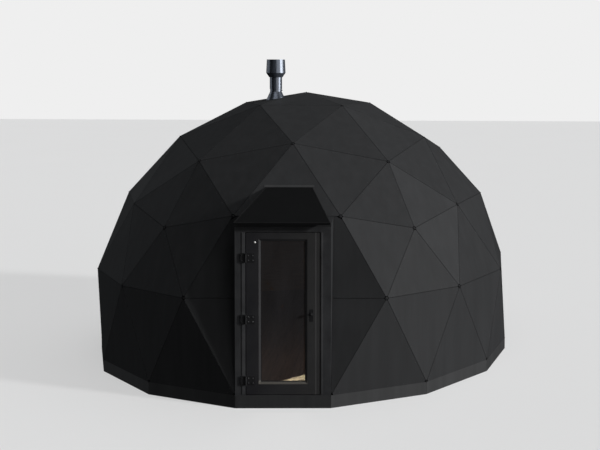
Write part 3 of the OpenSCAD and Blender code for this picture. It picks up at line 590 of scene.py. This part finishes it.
# %% The panels as triples of corners, anticlockwise from outside
FRONT_FACE = 0
triples = []
for k in range(5):
    a, b, c = 3 * k, 3 * k + 1, 3 * k + 2
    triples += [[(0, 0), (1, k), (1, k + 1)]]
    triples += [[(1, k), (2, 2 * k), (2, 2 * k + 1)], [(1, k), (2, 2 * k + 1), (1, k + 1)],
                [(1, k + 1), (2, 2 * k + 1), (2, 2 * k + 2)]]
    triples += [[(2, 2 * k), (3, a), (3, b)], [(2, 2 * k), (3, b), (2, 2 * k + 1)],
                [(2, 2 * k + 1), (3, b), (3, c)], [(2, 2 * k + 1), (3, c), (2, 2 * k + 2)],
                [(2, 2 * k + 2), (3, c), (3, c + 1)]]
    triples += [[(3, a), (4, a), (4, b)], [(3, a), (4, b), (3, b)],
                [(3, c), (4, c + 1), (3, c + 1)]]
    triples += [[(4, a), (5, a - 1), (5, a)], [(4, a), (5, a), (4, b)], [(4, b), (5, a), (5, b)]]
    if k != FRONT_FACE:
        triples += [[(3, b), (4, b), (4, c)], [(3, b), (4, c), (3, c)],
                    [(3, c), (4, c), (4, c + 1)]]
        triples += [[(4, b), (5, b), (4, c)], [(4, c), (5, b), (5, c)],
                    [(4, c), (5, c), (4, c + 1)]]
panels = np.array([[hub(*corner) for corner in triple] for triple in triples])
panel_out = unit(np.cross(panels[:, 1] - panels[:, 0], panels[:, 2] - panels[:, 0]))
off_riser = panels[..., 2].min() - riser_top
print("panels:", len(panels), "check: lowest corner is", round(off_riser, 6), "m off the riser")

# %% [markdown]
# ## Making a mesh from arrays
# A shape is worked out as one array of points. Bars are a flat profile carried along a line,
# and turned parts are a profile carried round an axis. Both are grids, so one function can
# join their points into faces, and thousands of copies cost no more code than one.

# %% Grids, bars and turned parts
def grid_faces(count, rows, columns):
    """Faces of count tubes. A tube is rows rings of columns points, and its rings are closed."""
    g, r, c = np.meshgrid(np.arange(count), np.arange(rows - 1), np.arange(columns), indexing="ij")
    first = (g * rows + r) * columns
    after = (c + 1) % columns
    return np.stack([first + c, first + after, first + columns + after, first + columns + c],
                    axis=-1).reshape(-1, 4)


def cap_faces(count, rows, columns):
    """The flat ends of those tubes: the first ring reversed and the last ring as it runs."""
    start = np.arange(count)[:, None] * rows * columns
    ring = np.arange(columns)[None, :]
    return np.concatenate([start + ring[:, ::-1], start + (rows - 1) * columns + ring])


def piece(name, points, faces, finish, slot, body="dome", smooth=35.0):
    """Makes a mesh of points and lists of faces, gives it its finish, and hangs it on a body."""
    mesh = bpy.data.meshes.new(name)
    rows = [row for block in faces for row in np.asarray(block).tolist()]
    mesh.from_pydata(np.asarray(points).reshape(-1, 3).tolist(), [], rows)
    mesh.polygons.foreach_set("use_smooth", [True] * len(mesh.polygons))
    mesh.set_sharp_from_angle(angle=math.radians(smooth))
    mesh.materials.append(finishes[finish])
    thing = bpy.data.objects.new(name, mesh)
    bpy.context.scene.collection.objects.link(thing)
    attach(thing, body)
    print(f"{name}: {len(mesh.polygons)} faces")
    return thing


def bars(starts, ends, outs, profile):
    """Points and faces of straight bars: start or end + profile's first number along the bar's
    side + its second number outwards. Side is out x way, and the profile runs anticlockwise."""
    starts, ends = np.atleast_2d(starts).astype(float), np.atleast_2d(ends).astype(float)
    way = unit(ends - starts)
    out = unit(np.broadcast_to(outs, way.shape))
    side = np.cross(out, way)
    offset = (profile[None, :, 0:1] * side[:, None] + profile[None, :, 1:2] * out[:, None])
    points = np.stack([starts[:, None] + offset, ends[:, None] + offset], axis=1)
    count, columns = len(starts), len(profile)
    return points.reshape(-1, 3), [grid_faces(count, 2, columns), cap_faces(count, 2, columns)]


def turned(centres, axes, profile, steps):
    """Points and faces of turned parts: centre + radius x (cos u + sin v) + height x axis for
    every radius and height of the profile, which runs upwards, and steps angles."""
    centres = np.atleast_2d(centres).astype(float)
    axis = unit(np.broadcast_to(axes, centres.shape))
    helper = np.where(np.abs(axis[:, 2:3]) > 0.9, [[1.0, 0.0, 0.0]], [[0.0, 0.0, 1.0]])
    u = unit(np.cross(helper, axis))
    v = np.cross(axis, u)
    angle = np.arange(steps) * 2 * np.pi / steps
    cos, sin = np.cos(angle)[None, :, None], np.sin(angle)[None, :, None]
    spokes = cos * u[:, None] + sin * v[:, None]
    radius, height = profile[:, 0], profile[:, 1]
    points = (centres[:, None, None] + radius[None, :, None, None] * spokes[:, None]
              + height[None, :, None, None] * axis[:, None, None])
    count, rows = len(centres), len(profile)
    return points.reshape(-1, 3), [grid_faces(count, rows, steps), cap_faces(count, rows, steps)]


def together(*shapes):
    """Several (points, faces) shapes as one."""
    points, faces, start = [], [], 0
    for shape_points, shape_faces in shapes:
        points.append(shape_points)
        faces += [block + start for block in shape_faces]
        start += len(shape_points)
    return np.concatenate(points), faces


def rect(width, low, high):
    """Profile of a flat bar: width across its line, from low to high outwards, bevelled on top."""
    w, b = width / 2, min(width, high - low) * 0.2
    return np.array([[-w, low], [w, low], [w, high - b], [w - b, high], [-w + b, high],
                     [-w, high - b]])


def hoop(corners, out, profile):
    """Points and faces of a profile carried round a flat outline: corner + the profile's first
    number x mitre + its second number x out. Mitre is the inward directions of the corner's two
    edges, added and divided by 1 + their dot product. Corners run anticlockwise seen from out,
    and the profile runs clockwise."""
    corners = np.asarray(corners, float)
    way = unit(np.roll(corners, -1, axis=0) - corners)
    inward = np.cross(out, way)
    before = np.roll(inward, 1, axis=0)
    mitre = (inward + before) / (1 + (inward * before).sum(-1, keepdims=True))
    points = (corners[:, None] + profile[None, :, 0:1] * mitre[:, None]
              + profile[None, :, 1:2] * np.asarray(out))
    rows, columns = len(corners), len(profile)
    r, c = np.meshgrid(np.arange(rows), np.arange(columns), indexing="ij")
    first, after = r * columns, (r + 1) % rows * columns
    turn = (c + 1) % columns
    faces = np.stack([first + c, after + c, after + turn, first + turn], axis=-1).reshape(-1, 4)
    return points.reshape(-1, 3), [faces]


print("mesh kit ready")

# %% [markdown]
# ## Gaskets in the seams
# Panels never touch: a narrow gap lets them swell and shrink. A soft rubber bulb fills each
# gap a little below the surface, which is why the seams read as fine dark lines.

# %% Where the seams run
RISER_RING = 5

seen_edges = {}
for triple in triples:
    for p, q in zip(triple, triple[1:] + triple[:1]):
        key = frozenset((r, i % len(rings[r])) for r, i in (p, q))
        if not all(r == RISER_RING for r, i in key):
            seen_edges.setdefault(key, (hub(*p), hub(*q)))
edge_ends = np.array(list(seen_edges.values()))

cheek_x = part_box("box_side_right")[1].x
mid_hubs = np.array([hub(4, 3), hub(4, 1)])
cheek_inner = mid_hubs * [0, 1, 1] + np.array([[cheek_x, 0, 0], [-cheek_x, 0, 0]])
door_face = unit(np.cross(hub(5, 2) - hub(5, 1), hub(3, 2) - hub(5, 1)))
print("seams:", len(edge_ends), "between panels and", len(mid_hubs), "between cheeks")

# %% Seam gaskets
SEAM, SQUEEZE = 0.006, 0.0006
CORNER, CHEEK_END = 0.030, 0.004
BULB_TOP, BULB_FOOT, BULB_STEPS = -0.0022, -0.015, 7


def bulb(width):
    """Straight stem with a half-round top, w cos across and w sin up, anticlockwise from the
    foot."""
    angle = np.linspace(0, np.pi, BULB_STEPS)
    w = width / 2
    top = np.column_stack([w * np.cos(angle), BULB_TOP - w + w * np.sin(angle)])
    return np.concatenate([[[-w, BULB_FOOT], [w, BULB_FOOT]], top])


a, b = edge_ends[:, 0], edge_ends[:, 1]
way = unit(b - a)
out = unit((a + b) / 2 - CENTRE)
upright = out - (out * way).sum(-1, keepdims=True) * way
gasket = bulb(SEAM - SQUEEZE)
gaskets = bars(a + CORNER * way, b - CORNER * way, upright, gasket)
cheek_way = unit(cheek_inner - mid_hubs)
cheek_gaskets = bars(mid_hubs + CORNER * cheek_way, cheek_inner - CHEEK_END * cheek_way,
                     door_face, gasket)
piece("seam_gaskets", *together(gaskets, cheek_gaskets), "rubber", "cladding")

# %% [markdown]
# ## Screws
# Panels are screwed to the struts along every edge. A real screw head here is a low button. It
# is made once as a profile and turned at every place in one go, with few faces because there
# are so many.

# %% Panel screws
HEAD = np.array([[0.0052, -0.001], [0.0052, 0.0006], [0.0040, 0.0018], [0.0018, 0.0023]])
HEAD_STEPS = 8
INSET, END_GAP, PER_EDGE = 0.024, 0.105, 6
FLUE_CLEAR = 0.17


def screw_rows(corners, normals, per_edge, inset, end_gap):
    """Places inset from each edge: start + end_gap, then equal steps to end - end_gap."""
    a, b = corners, np.roll(corners, -1, axis=1)
    way = unit(b - a)
    inward = np.cross(normals[:, None], way)
    length = np.linalg.norm(b - a, axis=-1, keepdims=True)
    share = np.linspace(0, 1, per_edge)[None, None, :, None]
    run = end_gap + share * (length[..., None, :] - 2 * end_gap)
    places = a[:, :, None] + run * way[:, :, None] + inset * inward[:, :, None]
    return places.reshape(-1, 3), np.repeat(normals, corners.shape[1] * per_edge, axis=0)


places, normals = screw_rows(panels, panel_out, PER_EDGE, INSET, END_GAP)
flue_low, flue_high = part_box("flue_boot")
flue_at = np.array([(flue_low.x + flue_high.x) / 2, (flue_low.y + flue_high.y) / 2])
clear = np.linalg.norm(places[:, :2] - flue_at, axis=1) > FLUE_CLEAR
for side, name in ((1, "panel_screws_right"), (-1, "panel_screws_left")):
    here = clear & (places[:, 0] * side > 0)
    piece(name, *turned(places[here], normals[here], HEAD, HEAD_STEPS), "screws", "cladding")

# %% Riser screws
ROW_END, ROW_RISE, PER_ROW = 0.06, 0.035, 5
ring5 = np.array([hub(RISER_RING, i) * [1, 1, 0] for i in range(len(rings[RISER_RING]))])
ring5_next = np.roll(ring5, -1, axis=0)
riser_way = unit(ring5_next - ring5)
riser_out = np.cross(riser_way, [0, 0, 1.0])
span = np.linalg.norm(ring5_next - ring5, axis=1)[:, None, None]
run = ROW_END + (span - 2 * ROW_END) * np.linspace(0, 1, PER_ROW)[None, :, None]
row = ring5[:, None] + riser_way[:, None] * run
rows = [row + [0, 0, height] for height in (ROW_RISE, riser_top - ROW_RISE)]
riser_places = np.concatenate(rows, axis=1).reshape(-1, 3)
riser_normals = np.repeat(riser_out, len(rows) * PER_ROW, axis=0)
piece("riser_screws", *turned(riser_places, riser_normals, HEAD, HEAD_STEPS), "screws", "cladding")

# %% [markdown]
# ## Bolts at the hubs
# Where five or six panels meet, their corners are clipped, and the hub's cap shows in the
# opening with the bolt that ties it together.

# %% Hub bolts
CAP_SINK = 0.005
DOORWAY_HUBS = ((4, 2), (5, 1), (5, 2))
hubs_shown = [(r, i) for r in range(len(rings)) for i in range(len(rings[r]))
              if (r, i) not in DOORWAY_HUBS]
hub_points = np.array([hub(r, i) for r, i in hubs_shown])
hub_axes = unit(hub_points - CENTRE)
washer = np.array([[0.0125, -0.0005], [0.0125, 0.0012], [0.0112, 0.0018]]) - [0, CAP_SINK]
hexagon = np.array([[0.0078, 0.0016], [0.0078, 0.0062], [0.0066, 0.0072]]) - [0, CAP_SINK]
washers = turned(hub_points, hub_axes, washer, 16)
heads = turned(hub_points, hub_axes, hexagon, 6)
piece("hub_bolts", *together(washers, heads), "ironmongery", "hub_steel")

# %% [markdown]
# ## Floor boards
# The deck inside is one flat solid in the frame. Here it becomes boards: each is a rounded
# strip, cut to the room's outline at both ends, with a shadow gap to its neighbour.

# %% The deck's outline
deck_low, deck_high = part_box("floor_deck")
deck = np.array([v.co for v in nodes["floor_deck"].data.vertices])
deck_corners = np.unique(deck[:, :2].round(5), axis=0)


def chain(points, front):
    """The outline's nearest or farthest edge as a curve of depth over width. Its corners are
    those on the near or far side of the line from the left end to the right end."""
    order = points[np.argsort(points[:, 0])]
    share = (order[:, 0] - order[0, 0]) / (order[-1, 0] - order[0, 0])
    behind = order[:, 1] - order[0, 1] - (order[-1, 1] - order[0, 1]) * share
    keep = order[behind <= 1e-6] if front else order[behind >= -1e-6]
    return lambda x: np.interp(x, keep[:, 0], keep[:, 1])


front, back = chain(deck_corners, True), chain(deck_corners, False)
print("deck corners:", len(deck_corners))

# %% Floor boards
# A board's left side is left edge + ROUND (1 - cos) across and top - ROUND (1 - sin) up, with a
# foot straight below. Its right side is the same, mirrored. Both ends are cut by the outline.
BOARD, BOARD_GAP, BOARD_T, ROUND = 0.138, 0.003, 0.022, 0.003
ROUND_STEPS, EDGE, NARROWEST = 4, 0.001, 0.03

lefts = np.arange(deck_low.x + EDGE, deck_high.x - NARROWEST, BOARD)
rights = np.minimum(lefts + BOARD - BOARD_GAP, deck_high.x - EDGE)
turn = np.linspace(0, np.pi / 2, ROUND_STEPS)
inwards = np.concatenate([[0.0], ROUND * (1 - np.cos(turn))])
upwards = deck_high.z + np.concatenate([[-BOARD_T], -ROUND * (1 - np.sin(turn))])
left_x, right_x = lefts[:, None] + inwards, rights[:, None] - inwards[::-1]
board_x = np.concatenate([left_x, right_x], axis=1)[:, ::-1]
board_z = np.broadcast_to(np.concatenate([upwards, upwards[::-1]])[::-1], board_x.shape)
board_points = np.stack([np.stack([board_x, back(board_x) - EDGE, board_z], axis=-1),
                         np.stack([board_x, front(board_x) + EDGE, board_z], axis=-1)], axis=1)
count, columns = board_x.shape
board_faces = [grid_faces(count, 2, columns), cap_faces(count, 2, columns)]
boards = piece("floor_boards", board_points, board_faces, "floor_boards", "floor_boards")
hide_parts("floor_deck")

# %% [markdown]
# ## The mat
# A pale woven mat lies askew inside the door. It is a bound border carried round its outline,
# with a slab of pile set inside it. The loops are too fine to model, so a bump stands for them.

# %% Mat
# The border is a hoop. The pile's rows are the mat's corners, each drawn in by the row's inset
# and raised to its height.
MAT = np.array([[-0.172, -2.436], [0.049, -2.681], [0.494, -2.278], [0.273, -2.033]])
MAT_T, BORDER, EASE = 0.011, 0.022, 0.004
PILE_ROWS = [(0.0205, 0.0), (0.0205, MAT_T - 0.002), (0.0235, MAT_T - 0.001)]

border = np.array([[0.0, 0.0], [0.0, MAT_T - EASE], [EASE, MAT_T], [BORDER - EASE, MAT_T],
                   [BORDER, MAT_T - 0.003], [BORDER, 0.0]])
mat_corners = np.column_stack([MAT, np.full(len(MAT), deck_high.z)])
from_before = unit(mat_corners - np.roll(mat_corners, 1, axis=0))
from_after = unit(mat_corners - np.roll(mat_corners, -1, axis=0))
outwards = from_before + from_after
pile = np.stack([mat_corners - outwards * inset + [0, 0, height] for inset, height in PILE_ROWS])
pile_faces = [grid_faces(1, len(PILE_ROWS), len(MAT)), cap_faces(1, len(PILE_ROWS), len(MAT))]
mat_border = hoop(mat_corners, np.array([0.0, 0.0, 1.0]), border)
piece("door_mat", *together(mat_border, (pile.reshape(-1, 3), pile_faces)), "mat", "floor_boards")

# %% [markdown]
# ## Round the door
# The door gets what a joiner adds last. A cover strip hides the hinge gap and a narrower one
# the closing gap, where a brown brush keeps the wind out. A rubber gasket beds the glass, the
# hinges are bolted through, and the knob has its plate. Each is a bar, a hoop or a turned part.

# %% Lines of the door, taken from the frame
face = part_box("left_jamb")[0].y
hinge_edge, closing_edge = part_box("left_jamb")[1].x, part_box("right_jamb")[0].x
leaf_low, leaf_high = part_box("leaf_stiles")
glass_low, glass_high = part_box("door_glass")
hinge_low, hinge_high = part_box("leaf_hinges")
HINGES, HINGE_HALF = 3, 0.054
hinge_at = np.linspace(hinge_low.z + HINGE_HALF, hinge_high.z - HINGE_HALF, HINGES)
FRONT = np.array([0.0, -1.0, 0.0])


def uprights(x, breaks):
    """Start and end points of upright bars on the frame's face, between the breaks."""
    heights = np.array(breaks).reshape(-1, 2)
    place = lambda z: np.column_stack([np.full(len(z), x), np.full(len(z), face), z])
    return place(heights[:, 0]), place(heights[:, 1])


print("hinges at heights", hinge_at.round(3), "on a face at y", round(face, 4))

# %% Cover strips and brush
STRIP, STRIP_GAP, STRIP_INSET = 0.036, 0.004, 0.006
CLOSING, CLOSING_INSET = 0.020, 0.010
STRIP_END, BRUSH_END = 0.002, 0.004
BRISTLES, BRISTLES_AT = 0.0024, 0.0012


def sloped(width, thin, thick, ease):
    """Profile that rises from thin at its left edge to thick, with its right edge eased by ease
    sideways and down."""
    w = width / 2
    return np.array([[-w, 0.0], [w, 0.0], [w, thick - ease[1]], [w - ease[0], thick], [-w, thin]])


breaks = [leaf_low.z + STRIP_END]
for z in hinge_at:
    breaks += [z - HINGE_HALF - STRIP_GAP, z + HINGE_HALF + STRIP_GAP]
breaks += [leaf_high.z]
hinge_strip = bars(*uprights(hinge_edge - STRIP / 2 - STRIP_INSET, breaks), FRONT,
                   sloped(STRIP, 0.0009, 0.0060, (0.0010, 0.0006)))
closing_line = uprights(closing_edge + CLOSING / 2 + CLOSING_INSET,
                        [leaf_low.z + STRIP_END, leaf_high.z])
closing_strip = bars(*closing_line, FRONT, sloped(CLOSING, 0.0008, 0.0039, (0.0008, 0.0005)))
piece("cover_strips", *together(hinge_strip, closing_strip), "door_frame", "door_frame")
brush_line = uprights(closing_edge - BRISTLES_AT, [leaf_low.z + BRUSH_END, leaf_high.z - BRUSH_END])
brush = bars(*brush_line, FRONT, rect(BRISTLES, -0.020, -0.003))
piece("brush_seal", *brush, "brush", "door_frame")

# %% Glass gasket
pane = np.array([[glass_low.x, 0, glass_low.z], [glass_high.x, 0, glass_low.z],
                 [glass_high.x, 0, glass_high.z], [glass_low.x, 0, glass_high.z]])
BEAD = 0.0278
lip = np.array([[0.0, 0.0], [0.0, 0.0016], [0.0012, 0.0026], [0.0032, 0.0022], [0.0040, 0.0]])
outer = hoop(pane + [0, glass_low.y, 0], FRONT, lip + [BEAD, 0])
inner = hoop((pane + [0, glass_high.y, 0])[::-1], -FRONT, lip + [BEAD, 0])
piece("glass_gasket", *together(outer, inner), "rubber", "glass", body="door")

# %% Hinge bolts
STRAP_T, STRAP_COLUMNS, STRAP_APART, STRAP_BOLT = 0.005, (-0.412, -0.358), 0.029, 0.0065
BLOCK_T, BLOCK_COLUMNS, BLOCK_APART, BLOCK_BOLT = 0.014, (-0.490,), 0.032, 0.0060


def hex_bolts(places, size):
    """Washer and six-sided head, facing the front, at each place."""
    washer = np.array([[1.45, 0.0], [1.45, 0.16], [1.3, 0.24]]) * size
    head = np.array([[1.0, 0.2], [1.0, 0.75], [0.82, 0.9]]) * size
    return together(turned(places, FRONT, washer, 14), turned(places, FRONT, head, 6))


def at_hinges(columns, apart, proud):
    """Places on each upright line, apart above and below each hinge's middle."""
    x, z, dz = np.meshgrid(columns, hinge_at, [-apart, apart], indexing="ij")
    return np.column_stack([x.ravel(), np.full(x.size, face - proud), (z + dz).ravel()])


strap_bolts = hex_bolts(at_hinges(STRAP_COLUMNS, STRAP_APART, STRAP_T), STRAP_BOLT)
block_bolts = hex_bolts(at_hinges(BLOCK_COLUMNS, BLOCK_APART, BLOCK_T), BLOCK_BOLT)
piece("strap_bolts", *strap_bolts, "bolts", "ironmongery", body="door")
piece("block_bolts", *block_bolts, "ironmongery", "ironmongery")

# %% Knob plate and door button
PLATE_W, PLATE_H, PLATE_ROUND, PLATE_T, PLATE_BEVEL = 0.046, 0.150, 0.008, 0.0025, 0.0008
PLATE_DROP, KEYHOLE_DROP, KEYHOLE_OUT = 0.018, 0.058, 0.0024
BUTTON_X, BUTTON_Z = -0.333, 2.003
knob_low, knob_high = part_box("door_knob")
knob_x, knob_z = (knob_low.x + knob_high.x) / 2, (knob_low.z + knob_high.z) / 2


def rounded(width, height, radius, steps=5):
    """Outline of a plate as x and z: one quarter circle, turned by 90 degrees and moved to each
    corner in turn, anticlockwise seen from the front."""
    turn = np.linspace(0, np.pi / 2, steps)
    quarter = np.column_stack([np.cos(turn), np.sin(turn)]) * radius
    spin = np.array([[0.0, 1.0], [-1.0, 0.0]])
    centre = np.array([width / 2 - radius, height / 2 - radius])
    sides = [(quarter @ np.linalg.matrix_power(spin, k)) + centre * side
             for k, side in enumerate(([1, 1], [-1, 1], [-1, -1], [1, -1]))]
    return np.concatenate(sides)


def plate(outline, at, thick, bevel):
    """Points and faces of a plate on a surface that faces the front: the outline on the surface,
    the same at thick - bevel, and the outline drawn in by bevel at thick."""
    middle = outline.mean(axis=0)
    small = middle + (outline - middle) * (1 - bevel / np.abs(outline - middle).max())
    rows = [(outline, 0.0), (outline, thick - bevel), (small, thick)]
    points = [np.column_stack([at[0] + line[:, 0], np.full(len(line), at[1] - out),
                               at[2] + line[:, 1]]) for line, out in rows]
    faces = [grid_faces(1, len(rows), len(outline)), cap_faces(1, len(rows), len(outline))]
    return np.concatenate(points), faces


knob_plate = plate(rounded(PLATE_W, PLATE_H, PLATE_ROUND), (knob_x, face, knob_z - PLATE_DROP),
                   PLATE_T, PLATE_BEVEL)
keyhole_rim = np.array([[0.0085, 0.0], [0.0085, 0.0012], [0.0060, 0.0018], [0.0050, 0.0006]])
keyhole = turned([(knob_x, face - KEYHOLE_OUT, knob_z - KEYHOLE_DROP)], FRONT, keyhole_rim, 20)
piece("knob_plate", *together(knob_plate, keyhole), "ironmongery", "ironmongery", body="door")
dome_top = np.array([[0.0125, 0.0], [0.0125, 0.003], [0.0105, 0.0055], [0.0060, 0.0072],
                     [0.002, 0.0078]])
button = turned([(BUTTON_X, face, BUTTON_Z)], FRONT, dome_top, 24)
piece("door_button", *button, "plastic", "ironmongery", body="door")

# %% [markdown]
# ## The awning's edges
# Bare sheet edges cut and rust, so a rubber trim runs round the awning. A flashing laps over its
# top edge and sheds the rain that comes down the panel. Both follow the sheet's own corners:
# the ends of its lip, which stands farthest out, and of its head, which stands highest.

# %% Awning sheet's corners
NEAR = 1e-4
sheet = np.array([v.co for v in nodes["awning_roof"].data.vertices])
lip = sheet[sheet[:, 1] < sheet[:, 1].min() + NEAR]
lip = lip[lip[:, 2] > lip[:, 2].max() - NEAR]
head = sheet[sheet[:, 2] > sheet[:, 2].max() - NEAR]
head = head[head[:, 1] < head[:, 1].min() + NEAR]
lip, head = lip[np.argsort(lip[:, 0])], head[np.argsort(head[:, 0])]
ring = np.array([lip[0], lip[-1], head[-1], head[0]])
sheet_out = unit(np.cross(ring[1] - ring[0], ring[2] - ring[1]))
print("awning corners:", ring.round(3).tolist())

# %% Awning trim and flashing
TRIM, TRIM_T, TRIM_GRIP, TRIM_EASE = 0.011, 0.0022, 0.004, 0.001
FLASH, FLASH_SIT, FLASH_TOP, FLASH_UP, LAP = 0.032, 0.0004, 0.0045, 0.001, 0.018

trim = np.array([[0.0, -TRIM_GRIP], [0.0, TRIM_T], [TRIM - TRIM_EASE, TRIM_T],
                 [TRIM, TRIM_T - TRIM_EASE], [TRIM, -0.0005]])
piece("awning_trim", *hoop(ring, sheet_out, trim), "rubber", "awning")
panel_normal = unit(np.cross(hub(3, 1) - hub(2, 1), hub(3, 2) - hub(2, 1)))
up_slope = unit(np.cross(panel_normal, [1.0, 0.0, 0.0]))
up_slope = up_slope * np.sign(up_slope[2])
foot = head + up_slope * (FLASH / 2 + FLASH_UP)
foot = foot - panel_normal * ((foot - hub(2, 1)) @ panel_normal)[:, None]
flash = bars(foot[:1] - [LAP, 0, 0], foot[-1:] + [LAP, 0, 0], panel_normal,
             rect(FLASH, FLASH_SIT, FLASH_TOP))
piece("awning_flashing", *flash, "riser", "awning")

# %% [markdown]
# ## Flue screws
# The boot's flange is screwed down through a bead of sealant, all the way round.

# %% Flue screws
FLANGE_R, FLANGE_TOP, FLUE_SCREWS, ROUND_HEAD_STEPS = 0.142, 0.0033, 12, 10

pipe_low, pipe_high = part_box("flue_pipe")
axis = np.array([(pipe_low.x + pipe_high.x) / 2, (pipe_low.y + pipe_high.y) / 2])
near = int(np.argmin(np.linalg.norm(panels.mean(axis=1)[:, :2] - axis, axis=1)))
flue_out = panel_out[near]
plane_z = (panels[near, 0] @ flue_out - axis @ flue_out[:2]) / flue_out[2]
flue_foot = np.array([axis[0], axis[1], plane_z])
u = unit(np.cross(flue_out, [0.0, 1.0, 0.0]))
v = np.cross(flue_out, u)
turn = np.arange(FLUE_SCREWS)[:, None] * 2 * np.pi / FLUE_SCREWS
flange = flue_foot + FLANGE_R * (np.cos(turn) * u + np.sin(turn) * v) + flue_out * FLANGE_TOP
piece("flue_screws", *turned(flange, flue_out, HEAD, ROUND_HEAD_STEPS), "screws", "flue")

# %% [markdown]
# ## The studio floor
# The floor is pale and plain. It glows a little by itself, so the shadow on it stays light. Only
# the camera sees it, so it can't throw light back up and turn the black panels grey.

# %% Studio floor
def studio_floor():
    """Pale diffuse floor with its own faint glow, seen by the camera only."""
    f = Finish("studio_floor", Specular_IOR_Level=0.0, Roughness=1.0, Emission_Strength=1.0)
    tone = f.noise(0.3, detail=1.0)
    return f.wear(Base_Color=f.blend(rgb(0.30, 0.30, 0.30), rgb(0.31, 0.31, 0.31), tone),
                  Emission_Color=rgb(0.50, 0.50, 0.50))


FLOOR_HALF, FLOOR_Z = 60.0, -0.001
floor_corners = [(x * FLOOR_HALF, y * FLOOR_HALF, FLOOR_Z)
                 for x, y in ((-1, -1), (1, -1), (1, 1), (-1, 1))]
mesh = bpy.data.meshes.new("studio_floor")
mesh.from_pydata(floor_corners, [], [(0, 1, 2, 3)])
mesh.materials.append(studio_floor())
studio = bpy.data.objects.new("studio_floor", mesh)
bpy.context.scene.collection.objects.link(studio)
studio.visible_diffuse = False
studio.visible_glossy = False
studio.visible_shadow = False
print("studio floor:", 2 * FLOOR_HALF, "m wide")
